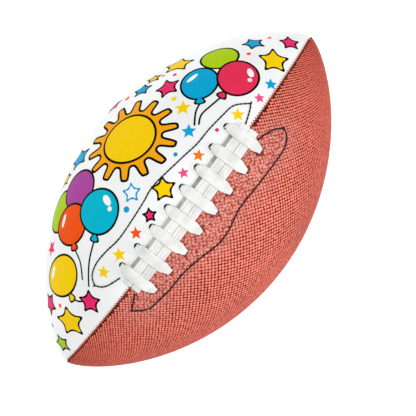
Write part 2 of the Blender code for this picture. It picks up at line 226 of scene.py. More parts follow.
@dataclass(frozen=True)
class Ball:
    """The profile that every layer of the ball follows, and places on it."""

    radius: float = 75 * MM
    length: float = 260 * MM
    power: float = 0.74
    tip_radius: float = 0.6 * MM
    seam_gap: float = 0.3 * MM
    samples: int = 2401

    @cached_property
    def tip_angle(self) -> float:
        """Angle along the ball at which it ends."""
        return math.acos((self.tip_radius / self.radius) ** (1 / (2 * self.power)))

    @cached_property
    def half_axis(self) -> float:
        """Half the length that the ball would have if its ends ran to a point."""
        return self.length / 2 / math.sin(self.tip_angle)

    @cached_property
    def axial_share(self) -> float:
        """How much faster than the sides the ends close in from layer to layer."""
        return self.power * self.radius / self.half_axis + self.half_axis / (2 * self.radius)

    @cached_property
    def table(self) -> tuple[np.ndarray, np.ndarray]:
        """Samples of the profile.

        Returns:
            Matching values of x and of the distance along the surface from the ball's middle.
        """
        angles = np.linspace(-self.tip_angle, self.tip_angle, self.samples)
        xs = self.half_axis * np.sin(angles)
        radii = self.radius * np.cos(angles) ** (2 * self.power)
        arcs = np.concatenate([[0.0], np.cumsum(np.hypot(np.diff(xs), np.diff(radii)))])
        return xs, arcs - arcs[-1] / 2

    def arc_at(self, x: float) -> float:
        """Distance along the surface from the middle to x."""
        xs, arcs = self.table
        return float(np.interp(x, xs, arcs))

    def x_at(self, arc: float | np.ndarray) -> float | np.ndarray:
        """The x at a distance along the surface from the middle."""
        xs, arcs = self.table
        return np.interp(arc, arcs, xs)

    def radius_at(self, x: float | np.ndarray) -> float | np.ndarray:
        """The cover's radius at x."""
        return self.radius * np.maximum(1 - (np.asarray(x) / self.half_axis) ** 2, LEAST) ** self.power

    def slope_at(self, x: float | np.ndarray) -> float | np.ndarray:
        """How steep the cover is.

        Args:
            x: the place along the ball.

        Returns:
            The rise of the radius for each metre of x.
        """
        share = np.asarray(x) / self.half_axis
        steepness = np.maximum(1 - share**2, LEAST) ** (self.power - 1)
        return -2 * self.radius * self.power * share * steepness / self.half_axis

    def frame_at(self, x: float, angle: float) -> tuple[Vector, Vector, Vector]:
        """Directions at a place on the cover.

        Args:
            x: the place along the ball.
            angle: the angle round it, 0 at the lacing.

        Returns:
            Unit vectors along the ball, around it, and outwards.
        """
        outward_yz = Vector((0, math.sin(angle), math.cos(angle)))
        slope = float(self.slope_at(x))
        along = (Vector((1, 0, 0)) + slope * outward_yz).normalized()
        outward = (outward_yz - slope * Vector((1, 0, 0))).normalized()
        return along, Vector((0, math.cos(angle), -math.sin(angle))), outward

    def point(self, x: float, offset: float, height: float, centre_angle: float = 0.0) -> Vector:
        """A point on or over the cover.

        Args:
            x: the place along the ball.
            offset: arc length round from the meridian at centre_angle.
            height: distance outwards from the cover.
            centre_angle: the meridian's angle, 0 at the lacing.

        Returns:
            The point.
        """
        radius = float(self.radius_at(x))
        angle = centre_angle + float(offset) / radius
        foot = Vector((x, radius * math.sin(angle), radius * math.cos(angle) + self.radius))
        return foot + float(height) * self.frame_at(x, angle)[2]

    def layer(self, x: np.ndarray, angle: np.ndarray, depth: np.ndarray) -> np.ndarray:
        """Points of the layer that lies depth inside the cover, as CAD makes its layers.

        Args:
            x: places along the cover.
            angle: angles round it.
            depth: depths below it.

        Returns:
            The points, in an array with one more dimension than x.
        """
        share = x / self.half_axis
        profile = np.maximum(1 - share**2, LEAST) ** self.power
        radius = (self.radius - depth) * profile
        along = (self.half_axis - self.axial_share * depth) * share
        return np.stack([along, radius * np.sin(angle), radius * np.cos(angle) + self.radius], axis=-1)


@dataclass(frozen=True)
class LacingPlan:
    """Where the lacing's crossings and holes are."""

    count: int = 8
    pitch: float = 15.25 * MM
    hole_offset: float = 12.3 * MM
    hole_radius: float = 2.6 * MM
    lace_width: float = 7.5 * MM
    strip_overhang: float = 3.5 * MM

    @property
    def strip_length(self) -> float:
        """Length of the two strips that the lace crosses."""
        return (self.count - 1) * self.pitch + self.lace_width + 2 * self.strip_overhang

    def x_of(self, index: int) -> float:
        """The x of a crossing."""
        return self.pitch * (index - (self.count - 1) / 2)

    def holes(self, side: int) -> list[tuple[float, float]]:
        """Each hole on one side, as x and arc length from the lacing's middle."""
        return [(self.x_of(index), side * self.hole_offset) for index in range(self.count)]


class Side(Enum):
    """The two halves of the cover, by the sign of Y on which they lie."""

    PRINTED = -1
    PEBBLED = 1

    @property
    def word(self) -> str:
        """The half's name in piece names."""
        return self.name.lower()


class Quarter(Enum):
    """The four panels of the cover: half of the ball and the angle at which the panel begins."""

    printed_lace_side = (Side.PRINTED, -QUARTER)
    printed_back = (Side.PRINTED, -2 * QUARTER)
    pebbled_lace_side = (Side.PEBBLED, 0.0)
    pebbled_back = (Side.PEBBLED, QUARTER)

    @property
    def side(self) -> Side:
        """The half of the ball that the panel belongs to."""
        return self.value[0]

    @property
    def start(self) -> float:
        """The angle at which the panel begins."""
        return self.value[1]

    @property
    def middle(self) -> float:
        """The angle of the panel's middle meridian."""
        return self.value[1] + QUARTER / 2

    @property
    def has_lacing(self) -> bool:
        """Whether the lacing lies on the panel."""
        return self.name.endswith("lace_side")


BALL = Ball()
LACING = LacingPlan()
VALVE_ANGLE = math.radians(135)
VALVE_HOLE_RADIUS = 4.05 * MM
FILM_DEPTH = 0.2 * MM
PEBBLE_FOOT = 0.34 * MM


# ---- Geometry Nodes trees ----


def new_tree(name: str, sockets: dict[str, str]) -> tuple[NodeTree, Node]:
    """An empty Geometry Nodes tree with its named inputs.

    Args:
        name: the tree's name.
        sockets: the type of each input after the geometry, by its name.

    Returns:
        The tree and its input node.
    """
    tree = bpy.data.node_groups.new(name, "GeometryNodeTree")
    tree.is_modifier = True
    tree.interface.new_socket("Geometry", in_out="INPUT", socket_type="NodeSocketGeometry")
    for label, kind in sockets.items():
        tree.interface.new_socket(label, in_out="INPUT", socket_type=f"NodeSocket{kind}")
    tree.interface.new_socket("Geometry", in_out="OUTPUT", socket_type="NodeSocketGeometry")
    return tree, add_node(tree, "NodeGroupInput")


def run_tree(piece: Object, tree: NodeTree, values: dict[str, object]) -> None:
    """Runs a tree on a piece and keeps the plain mesh that comes out.

    Args:
        piece: the piece whose mesh goes in.
        tree: the Geometry Nodes tree.
        values: what its named inputs get.
    """
    modifier = piece.modifiers.new(tree.name, "NODES")
    modifier.node_group = tree
    for item in tree.interface.items_tree:
        if item.in_out == "INPUT" and item.name in values:
            modifier[item.identifier] = values[item.name]
    settle(piece)


def end_tree(tree: NodeTree, start: Node, made: NodeSocket) -> None:
    """Ends a tree with a plain mesh in the material of its Finish input.

    Args:
        tree: the Geometry Nodes tree.
        start: its input node.
        made: the geometry that it has made.
    """
    plain = add_node(tree, "GeometryNodeRealizeInstances", {0: made})
    dressing = {"Geometry": plain.outputs[0], "Material": start.outputs["Finish"]}
    dressed = add_node(tree, "GeometryNodeSetMaterial", dressing)
    add_node(tree, "NodeGroupOutput", {0: dressed.outputs[0]})


class WrapTree:
    """Wraps a flat mesh onto the ball: its x stays, y is the way round and z the height."""

    def __init__(self) -> None:
        """Builds the tree once."""
        sizes = ("Ball Radius", "Half Axis", "Profile Power", "Centre Angle", "Centre Height")
        tree, start = new_tree("Wrap onto the ball", {**dict.fromkeys(sizes, "Float"), "Finish": "Material"})
        self.tree = tree
        place = add_node(tree, "GeometryNodeInputPosition")
        flat = add_node(tree, "ShaderNodeSeparateXYZ", {0: place.outputs[0]}).outputs
        known = {"x": flat[0], "way round": flat[1], **{size: start.outputs[size] for size in sizes}}
        sums = (
            ("share", "DIVIDE", "x", "Half Axis"),
            ("share squared", "MULTIPLY", "share", "share"),
            ("rest", "SUBTRACT", 1.0, "share squared"),
            ("profile", "POWER", "rest", "Profile Power"),
            ("radius", "MULTIPLY", "Ball Radius", "profile"),
            # The slope is -2 * power * share * radius / (rest * half axis)
            ("climb", "MULTIPLY", "radius", "share"),
            ("run", "MULTIPLY", "rest", "Half Axis"),
            ("rise", "DIVIDE", "climb", "run"),
            ("steepness", "MULTIPLY", "rise", "Profile Power"),
            ("slope", "MULTIPLY", "steepness", -2.0),
            ("back", "MULTIPLY", "slope", -1.0),
            ("turn", "DIVIDE", "way round", "radius"),
            ("angle", "ADD", "Centre Angle", "turn"),
            ("sine", "SINE", "angle"),
            ("cosine", "COSINE", "angle"),
            ("side", "MULTIPLY", "radius", "sine"),
            ("over centre", "MULTIPLY", "radius", "cosine"),
            ("up", "ADD", "over centre", "Centre Height"),
        )
        for result, operation, *terms in sums:
            inputs = {place: known.get(term, term) for place, term in enumerate(terms)}
            known[result] = add_node(tree, "ShaderNodeMath", inputs, operation=operation).outputs[0]
        steep = {0: known["back"], 1: known["sine"], 2: known["cosine"]}
        steep = add_node(tree, "ShaderNodeCombineXYZ", steep).outputs[0]
        normal = add_node(tree, "ShaderNodeVectorMath", {0: steep}, operation="NORMALIZE").outputs[0]
        lift = add_node(tree, "ShaderNodeVectorMath", {0: normal, "Scale": flat[2]}, operation="SCALE")
        foot = add_node(tree, "ShaderNodeCombineXYZ", {0: flat[0], 1: known["side"], 2: known["up"]})
        there = {0: foot.outputs[0], 1: lift.outputs[0]}
        there = add_node(tree, "ShaderNodeVectorMath", there, operation="ADD").outputs[0]
        moving = {"Geometry": start.outputs["Geometry"], "Position": there}
        end_tree(tree, start, add_node(tree, "GeometryNodeSetPosition", moving).outputs[0])

    def wrap(self, piece: Object, material: Material, centre_angle: float = 0.0) -> Object:
        """Wraps a flat piece.

        Args:
            piece: the piece, flat.
            material: its finish.
            centre_angle: the angle of the meridian from which its y is counted.

        Returns:
            The same piece, on the ball.
        """
        values = {
            "Ball Radius": BALL.radius, "Half Axis": BALL.half_axis, "Profile Power": BALL.power,
            "Centre Angle": centre_angle, "Centre Height": BALL.radius, "Finish": material,
        }
        run_tree(piece, self.tree, values)
        piece.data.shade_smooth()
        return piece


@dataclass
class Setting:
    """Places on the ball where a small shape is set."""

    points: list[Vector] = field(default_factory=list)
    outward: list[Vector] = field(default_factory=list)
    along: list[Vector] = field(default_factory=list)
    size: list[Vector] = field(default_factory=list)
    tone: list[float] = field(default_factory=list)
    rubbed: list[float] = field(default_factory=list)

    def add(
        self, point: Vector, outward: Vector, along: Vector, size: Sequence[float], tone: float = 0.5,
        rubbed: float = 0.0,
    ) -> None:
        """Adds one place.

        Args:
            point: where the shape's foot goes.
            outward: the way that the shape's top points.
            along: the way that its X points.
            size: its scale on each axis.
            tone: how light it is, from 0 to 1.
            rubbed: how worn it is by the lace and the hand, from 0 to 1, and how much painted sheen the
                pebbled finish gives it.
        """
        self.points.append(point)
        self.outward.append(outward)
        self.along.append(along)
        self.size.append(Vector(size))
        self.tone.append(tone)
        self.rubbed.append(rubbed)

    def piece(self, name: str) -> Object:
        """Turns the places into a mesh of loose points that carry their directions and sizes.

        Args:
            name: its name.

        Returns:
            The piece.
        """
        mesh = bpy.data.meshes.new(name)
        mesh.from_pydata(self.points, [], [])
        for label in ("outward", "along", "size", "tone", "rubbed"):
            store(mesh, label, getattr(self, label))
        return link_piece(name, mesh)


class SettingTree:
    """Sets a small shape on each place of a Setting, a little varied in size and turn."""

    def __init__(self) -> None:
        """Builds the tree once."""
        sockets = {"Shape": "Object", "Size Spread": "Float", "Turn Spread": "Float", "Finish": "Material"}
        tree, start = new_tree("Set on the ball", sockets)
        self.tree = tree
        given = start.outputs
        named, aligned = "GeometryNodeInputNamedAttribute", "FunctionNodeAlignRotationToVector"
        stored = {
            label: add_node(tree, named, {"Name": label}, data_type="FLOAT_VECTOR").outputs[0]
            for label in ("outward", "along", "size")
        }
        upright = add_node(tree, aligned, {"Vector": stored["outward"]}, axis="Z").outputs[0]
        facing = {"Rotation": upright, "Vector": stored["along"]}
        turned = add_node(tree, aligned, facing, axis="X", pivot_axis="Z").outputs[0]
        most = given["Turn Spread"]
        least_turn = add_node(tree, "ShaderNodeMath", {0: most, 1: -1.0}, operation="MULTIPLY")
        least_size = add_node(tree, "ShaderNodeMath", {0: 1.0, 1: given["Size Spread"]}, operation="SUBTRACT")
        turn_range = {2: least_turn.outputs[0], 3: most, "Seed": 11}
        size_range = {2: least_size.outputs[0], 3: 1.0, "Seed": 29}
        swing, growth = (
            add_node(tree, "FunctionNodeRandomValue", chances, data_type="FLOAT").outputs[1]
            for chances in (turn_range, size_range)
        )
        spin = add_node(tree, "ShaderNodeCombineXYZ", {2: swing}).outputs[0]
        turning = {0: turned, 1: spin}
        spun = add_node(tree, "FunctionNodeRotateRotation", turning, rotation_space="LOCAL").outputs[0]
        scaling = {0: stored["size"], "Scale": growth}
        shape = add_node(tree, "GeometryNodeObjectInfo", {"Object": given["Shape"]})
        placing = {
            "Points": given["Geometry"], "Instance": shape.outputs["Geometry"], "Rotation": spun,
            "Scale": add_node(tree, "ShaderNodeVectorMath", scaling, operation="SCALE").outputs[0],
        }
        end_tree(tree, start, add_node(tree, "GeometryNodeInstanceOnPoints", placing).outputs[0])

    def set_out(
        self, name: str, setting: Setting, shape: Object, material: Material, size_spread: float = 0.0,
        turn_spread: float = 0.0,
    ) -> Object:
        """Sets a shape on every place.

        Args:
            name: the new piece's name.
            setting: the places.
            shape: the small shape, foot at the origin and top along +Z.
            material: the piece's finish.
            size_spread: share by which the smallest is smaller than the largest.
            turn_spread: how far each may be turned, in radians.

        Returns:
            The new piece.
        """
        piece = setting.piece(name)
        values = {
            "Shape": shape, "Size Spread": size_spread, "Turn Spread": turn_spread, "Finish": material
        }
        run_tree(piece, self.tree, values)
        for label in ("outward", "along", "size"):
            layer = piece.data.attributes[label]
            piece.data.attributes.remove(layer)
        piece.data.shade_smooth()
        return piece


# ---- Finishes ----


@dataclass(frozen=True)
class Finish:
    """A procedural finish: two colours that run into each other over a cloud, and a fine relief.

    The cloud's span is where between 0 and 1 it is all shade and all light.
    """

    name: str
    roughness: float
    ior: float = 1.5
    gloss: float = 0.5
    shade: str = "#808080"
    light: str = "#ffffff"
    cloud: float = 4 * MM
    cloud_detail: float = 2.0
    cloud_span: tuple[float, float] = (0.35, 0.65)
    relief: float = 0.4 * MM
    relief_detail: float = 2.0
    depth: float = 0.02 * MM

    def start(self) -> tuple[Material, NodeTree, Node]:
        """Begins the material.

        Returns:
            The material with its bare shader, its tree and the shader node.
        """
        material = bpy.data.materials.new(self.name)
        material.use_nodes = True
        shader = material.node_tree.nodes["Principled BSDF"]
        shader.inputs["Roughness"].default_value = self.roughness
        shader.inputs["IOR"].default_value = self.ior
        shader.inputs["Specular IOR Level"].default_value = self.gloss
        return material, material.node_tree, shader

    def grain(self, tree: NodeTree, size: float, detail: float, shift: float = 0.0) -> NodeSocket:
        """Lays noise on Object coordinates.

        Args:
            tree: the material's tree.
            size: the size of one grain, in metres.
            detail: how many finer layers it has.
            shift: how far the pattern is moved.

        Returns:
            The noise, from 0 to 1.
        """
        place = add_node(tree, "ShaderNodeTexCoord").outputs["Object"]
        moved = add_node(tree, "ShaderNodeMapping", {"Vector": place, "Location": (shift,) * 3})
        noise = {"Vector": moved.outputs[0], "Scale": 0.5 / size, "Detail": detail}
        return add_node(tree, "ShaderNodeTexNoise", noise).outputs["Fac"]

    def clouded(self, tree: NodeTree) -> tuple[NodeSocket, NodeSocket]:
        """Lays the cloud.

        Args:
            tree: the material's tree.

        Returns:
            The cloud, from 0 to 1, and its colour.
        """
        cloud = self.grain(tree, self.cloud, self.cloud_detail)
        stops = tuple(zip(self.cloud_span, (self.shade, self.light)))
        return cloud, add_node(tree, "ShaderNodeValToRGB", {0: cloud}, stops).outputs[0]

    def cover(self, shader: Node, colour: NodeSocket, relief: NodeSocket) -> None:
        """Feeds the shader its colour and its relief.

        Args:
            shader: the shader node.
            colour: the colour.
            relief: the height pattern, pressed in as deep as the finish says.
        """
        tree = shader.id_data
        bump = add_node(tree, "ShaderNodeBump", {"Height": relief, "Distance": self.depth, "Strength": 1.0})
        tree.links.new(colour, shader.inputs["Base Color"])
        tree.links.new(bump.outputs[0], shader.inputs["Normal"])

    def make(self) -> Material:
        """Makes the material from cloud and relief.

        Returns:
            The material.
        """
        material, tree, shader = self.start()
        colour = self.clouded(tree)[1]
        self.cover(shader, colour, self.grain(tree, self.relief, self.relief_detail))
        return material


@dataclass(frozen=True)
class PrintedFilm(Finish):
    """Satin polyurethane film, calendered and laminated on foam: smooth, with a soft even shine.

    It is very faintly cloudy, over a leather grain 0.5 mm wide.
    """

    name: str = "satin_polyurethane_film"
    roughness: float = 0.45
    gloss: float = 0.2
    shade: str = "#f2f4f4"
    light: str = "#f9fafa"
    cloud: float = 14 * MM
    cloud_detail: float = 1.0
    relief: float = 0.5 * MM
    relief_detail: float = 3.0


@dataclass(frozen=True)
class ScreenInk(PrintedFilm):
    """Flexible screen ink laid on the film: solid colour over the film's own grain."""

    name: str = "screen_ink"
    gloss: float = 0.03
    colour: str = "#000000"
    thinnest: float = 0.9
    cloud: float = 2 * MM
    cloud_detail: float = 2.0
    depth: float = 0.015 * MM

    def make(self) -> Material:
        """Makes the ink, mottled very slightly as a squeegee leaves it.

        Returns:
            The material.
        """
        material, tree, shader = self.start()
        full = linear(self.colour)
        thin = (*(share * self.thinnest for share in full[:3]), 1.0)
        mottle = {"Factor": self.grain(tree, self.cloud, self.cloud_detail), 6: full, 7: thin}
        colour = add_node(tree, "ShaderNodeMix", mottle, data_type="RGBA").outputs[2]
        self.cover(shader, colour, self.grain(tree, self.relief, self.relief_detail))
        return material


@dataclass(frozen=True)
class PebbledCover(Finish):
    """Moulded composite rubber, dull red; painted shade darkens it in the pits between its pebbles, and
    painted highlight makes their tops paler.
    """

    name: str = "moulded_pebbled_rubber"
    roughness: float = 0.5
    gloss: float = 0.05
    cloud: float = 9 * MM
    cloud_detail: float = 3.0
    relief: float = 0.25 * MM
    # The colours by pebble height give painted shade low down and painted highlight (the shine) on top
    pit: str = "#560602"
    flank: str = "#b8402f"
    top: str = "#da6552"
    shine: str = "#f0907f"
    worn_pit: str = "#a23a31"
    worn: str = "#c9655b"
    worn_shine: str = "#e8b0a0"
    # Painted shade: this colour is multiplied in toward the bottom of the ball
    deep: str = "#e6a28e"
    polished_spot: float = 0.55 * MM
    handled_above: float = 130 * MM
    deep_below: float = 75 * MM

    def make(self) -> Material:
        """Makes the rubber, whose colour follows each pebble's height (painted shade low, painted highlight
        high), its tone, and how worn it is, with painted sheen.

        Returns:
            The material.
        """
        material, tree, shader = self.start()
        lift, tone, rubbed = (
            add_node(tree, "ShaderNodeAttribute", attribute_name=label).outputs["Fac"]
            for label in ("lift", "tone", "rubbed")
        )
        # Both ramps run with each pebble's height: painted shade in the pits, painted highlight toward the
        # tops
        new = ((0.535, self.pit), (0.56, self.flank), (0.6, self.top), (1.0, self.shine))
        old = ((0.2, self.worn_pit), (0.6, self.worn), (0.85, self.worn), (1.0, self.worn_shine))
        fresh, smooth = (
            add_node(tree, "ShaderNodeValToRGB", {0: lift}, stops).outputs[0] for stops in (new, old)
        )
        # Painted highlight: small pale specks, about 1 mm apart, on the worn cover by the lacing
        spots = {"Value": self.grain(tree, self.polished_spot, 1.0, 3.0), "From Min": 0.55, "From Max": 0.68}
        shown = add_node(tree, "ShaderNodeMapRange", spots).outputs[0]
        speck_highlight = {0: shown, 6: smooth, 7: linear(self.worn_shine)}
        # Where worn, paler colours of lower contrast: real wear of the rubber, and painted sheen near the
        # lacing
        wear = {0: rubbed, 6: fresh, 7: add_node(tree, "ShaderNodeMix", speck_highlight, data_type="RGBA").outputs[2]}
        colour = add_node(tree, "ShaderNodeMix", wear, data_type="RGBA").outputs[2]
        # Painted shade: the lower the cover lies, the darker and deeper its red
        place = add_node(tree, "ShaderNodeTexCoord").outputs["Object"]
        height = add_node(tree, "ShaderNodeSeparateXYZ", {0: place}).outputs[2]
        span = {"Value": height, "From Min": self.handled_above, "From Max": self.deep_below}
        low = add_node(tree, "ShaderNodeMapRange", span).outputs[0]
        depth = {0: low, 6: colour, 7: linear(self.deep)}
        deep = add_node(tree, "ShaderNodeMix", depth, data_type="RGBA", blend_type="MULTIPLY").outputs[2]
        # Each pebble is as bright as its tone, and patches of the cover differ by up to a ninth
        patchy = {0: self.grain(tree, self.cloud, self.cloud_detail), 1: 0.22, 2: -0.11}
        strength, patch = (
            add_node(tree, "ShaderNodeMath", share, operation="MULTIPLY_ADD").outputs[0]
            for share in ({0: tone, 1: 0.4, 2: 0.76}, patchy)
        )
        level = add_node(tree, "ShaderNodeMath", {0: strength, 1: patch}).outputs[0]
        toned = add_node(tree, "ShaderNodeVectorMath", {0: deep, "Scale": level}, operation="SCALE")
        self.cover(shader, toned.outputs[0], self.grain(tree, self.relief, self.relief_detail))
        return material


@dataclass(frozen=True)
class LaceVinyl(Finish):
    """Soft matt vinyl over a cotton core, extruded flat: chalky white with faint lengthwise ribs."""

    name: str = "matt_vinyl_lace"
    roughness: float = 0.6
    gloss: float = 0.2
    shade: str = "#e0e1dd"
    light: str = "#f1f1ee"
    cloud_span: tuple[float, float] = (0.36, 0.6)
    relief: float = 0.3 * MM
    depth: float = 0.05 * MM
    rib: float = 0.9

    def make(self) -> Material:
        """Makes the vinyl: ribs across the lace, from its UV map, a fine bloom and soft creases.

        Returns:
            The material.
        """
        material, tree, shader = self.start()
        # One cloud sets both colour and relief, so the low creases take the greyer shade colour: painted
        # shade
        cloud, colour = self.clouded(tree)
        place = add_node(tree, "ShaderNodeUVMap", uv_map="lace").outputs[0]
        # The UV map counts millimetres, and a wave texture of scale 1 repeats 20 / (2 pi) times a unit
        waves = {"Vector": place, "Scale": math.tau / self.rib / 20, "Distortion": 0.6}
        relief = add_node(tree, "ShaderNodeTexWave", waves, bands_direction="Y").outputs["Fac"]
        for pattern, weight in ((self.grain(tree, self.relief, self.relief_detail), 0.5), (cloud, 4.0)):
            sums = {0: pattern, 1: weight, 2: relief}
            relief = add_node(tree, "ShaderNodeMath", sums, operation="MULTIPLY_ADD").outputs[0]
        self.cover(shader, colour, relief)
        return material


@dataclass(frozen=True)
class WovenCloth(Finish):
    """Plain-woven cotton and polyester: dull, soft at the edges, with the weave just visible."""

    name: str = "plain_woven_cotton"
    roughness: float = 0.9
    shade: str = "#b3a993"
    light: str = "#d9d2c2"
    cloud_span: tuple[float, float] = (0.1, 0.8)
    depth: float = 0.1 * MM
    spacing: float = 0.8 * MM
    fuzz: float = 0.15

    def make(self) -> Material:
        """Makes the cloth: two sets of threads across each other on Object coordinates.

        Returns:
            The material.
        """
        material, tree, shader = self.start()
        place = add_node(tree, "ShaderNodeTexCoord").outputs["Object"]
        waves = {"Vector": place, "Scale": math.pi / 10 / self.spacing}
        threads = {
            side: add_node(tree, "ShaderNodeTexWave", waves, bands_direction=way).outputs["Fac"]
            for side, way in enumerate(("X", "DIAGONAL"))
        }
        weave = add_node(tree, "ShaderNodeMath", threads, operation="MULTIPLY").outputs[0]
        # The weave sets both colour and relief: the low gaps between threads are darker, painted shade
        stops = tuple(zip(self.cloud_span, (self.shade, self.light)))
        self.cover(shader, add_node(tree, "ShaderNodeValToRGB", {0: weave}, stops).outputs[0], weave)
        shader.inputs["Sheen Weight"].default_value = self.fuzz
        return material


@dataclass(frozen=True)
class MouldedRubber(Finish):
    """Compression-moulded rubber, dusted with talc: dark, soft-edged, with a grey bloom."""

    name: str = "moulded_rubber"
    roughness: float = 0.62
    ior: float = 1.52
    shade: str = "#1d1c1c"
    light: str = "#3b3a39"
    cloud: float = 6 * MM
    cloud_detail: float = 4.0
    cloud_span: tuple[float, float] = (0.4, 0.75)
    depth: float = 0.03 * MM


@dataclass(frozen=True)
class WaxedThread(Finish):
    """Twisted and waxed polyester thread: near black, a dull shine on strands 0.2 mm wide."""

    name: str = "waxed_thread"
    roughness: float = 0.5
    gloss: float = 0.08
    shade: str = "#0a0a0b"
    light: str = "#201e20"
    # The cloud and the relief are one grain, so the raised strands are lighter: painted highlight
    cloud: float = 0.2 * MM
    cloud_detail: float = 1.0
    cloud_span: tuple[float, float] = (0.3, 0.7)
    relief: float = 0.2 * MM
    relief_detail: float = 1.0
    depth: float = 0.04 * MM


@dataclass(frozen=True)
class CutEdge(Finish):
    """Punched edge of the cover's foam backing: matt, with pores 0.3 mm wide."""

    name: str = "punched_foam_edge"
    roughness: float = 0.9
    shade: str = "#3a2a27"
    light: str = "#6b5148"
    # The cloud and the relief are one grain, so the pores are darker: painted shade
    cloud: float = 0.3 * MM
    relief: float = 0.3 * MM
    depth: float = 0.08 * MM


# ---- Cover ----


def smooth_course(points: Sequence[Sequence[float]], steps: int) -> list[np.ndarray]:
    """Points on a smooth curve through the given ones.

    Args:
        points: the points, each with any number of values.
        steps: how many new points each span gets.

    Returns:
        The finer points, the last one included.
    """
    known = [np.array(point, float) for point in points]
    padded = [known[0], *known, known[-1]]
    result = []
    for before, start, end, after in zip(padded, padded[1:], padded[2:], padded[3:]):
        for step in range(steps):
            t = step / steps
            leave = (end - before) / 2
            arrive = (after - start) / 2
            course = start + (end - start) * (t * t * (3 - 2 * t))
            result.append(course + leave * t * (1 - t) ** 2 - arrive * t * t * (1 - t))
    return [*result, known[-1]]


@dataclass(frozen=True)
class StitchCourse:
    """The hand-guided stitching that holds the reinforcement round the lacing, on one side."""

    side: Side
    half_length: float = 78.375 * MM
    half_width: float = 29 * MM
    near_thread: float = 4 * MM
    handled: float = 13 * MM
    @property
    def shares(self) -> Pairs:
        """Its course in hundredths of the half length along the ball and of the half width."""
        if self.side is Side.PRINTED:
            return (
                (-78, 13), (-88, 22), (-93.5, 29), (-93.5, 29), (-87, 50), (-82, 59), (-75, 63),
                (-58, 70), (-44, 72), (-31, 79), (-15, 87), (-2, 93), (8, 94), (18, 90), (40, 85),
                (54, 84), (66, 89), (77, 91), (85, 87), (91, 78), (95, 62), (95, 62), (92, 48),
                (87, 39), (77, 30),
            )
        return (
            (-74, 27), (-80, 33), (-85, 39), (-89, 46), (-93.5, 60), (-93.5, 60), (-91, 72), (-86, 83),
            (-80, 88), (-66, 88), (-41, 85), (-28, 83), (-20, 84), (-5, 93), (7, 94), (15, 89),
            (27, 80), (38, 73), (48, 70), (60, 70), (70, 67), (79, 64), (83, 61), (88, 50), (93, 34),
            (93, 34), (88, 26), (80, 15),
        )

    @cached_property
    def course(self) -> np.ndarray:
        """Its course as x and arc length from the lacing's middle."""
        scale = np.array((self.half_length, self.side.value * self.half_width))
        return np.array(smooth_course([np.array(share) / 100 * scale for share in self.shares], 4))

    def distance(self, x: np.ndarray, offset: np.ndarray) -> np.ndarray:
        """Distance from places on the cover to the nearest point of the course."""
        gaps = np.hypot(x[..., None] - self.course[:, 0], offset[..., None] - self.course[:, 1])
        return gaps.min(axis=-1)

    def wear(self, x: float, offset: float, distance: float) -> float:
        """How worn the cover is, with painted sheen to match: inside the stitching, and fading outside it.

        Args:
            x: a place along the ball.
            offset: its arc length from the lacing.
            distance: its distance from the stitching.

        Returns:
            The wear, from 0 to 1.
        """
        if self.holds(x, offset):
            return 1.0 - 0.2 * max(0.0, 1 - distance / self.near_thread)
        return 0.8 * max(0.0, 1 - distance / self.handled)

    def holds(self, x: float, offset: float) -> bool:
        """Whether a place lies between the stitching and the seam.

        Args:
            x: the place along the ball.
            offset: its arc length from the lacing.

        Returns:
            Whether a line from the place crosses the stitched outline an odd number of times.
        """
        first, last = self.course[0], self.course[-1]
        ring = np.vstack([self.course, [(last[0], 0.0), (first[0], 0.0)]])
        after = np.roll(ring, -1, axis=0)
        spans = (ring[:, 1] > offset) != (after[:, 1] > offset)
        rise = np.where(spans, after[:, 1] - ring[:, 1], 1.0)
        crossing = ring[:, 0] + (offset - ring[:, 1]) / rise * (after[:, 0] - ring[:, 0])
        return bool(np.count_nonzero(spans & (x < crossing)) % 2)


def dome(name: str, rings: Sequence[float], segments: int = 8) -> Object:
    """A low round cap, one unit in radius and in height, with its height stored as "lift".

    Args:
        name: the piece's name.
        rings: the radius of each of its rings, from the foot up.
        segments: how many sides it has.

    Returns:
        The cap, open at its foot.
    """
    points = []
    for ring in rings:
        height = math.sqrt(1 - ring**2) if ring < 1 else 0.0
        points += [(ring * math.cos(t), ring * math.sin(t), height) for t in turns(segments)]
    points.append((0.0, 0.0, 1.0))
    faces = []
    for low in range(0, (len(rings) - 1) * segments, segments):
        for i in range(segments):
            k = (i + 1) % segments
            faces.append((low + i, low + k, low + segments + k, low + segments + i))
    last = (len(rings) - 1) * segments
    faces += [(last + i, last + (i + 1) % segments, len(points) - 1) for i in range(segments)]
    mesh = bpy.data.meshes.new(name)
    mesh.from_pydata(points, [], faces)
    store(mesh, "lift", [point[2] for point in points])
    return link_piece(name, mesh)


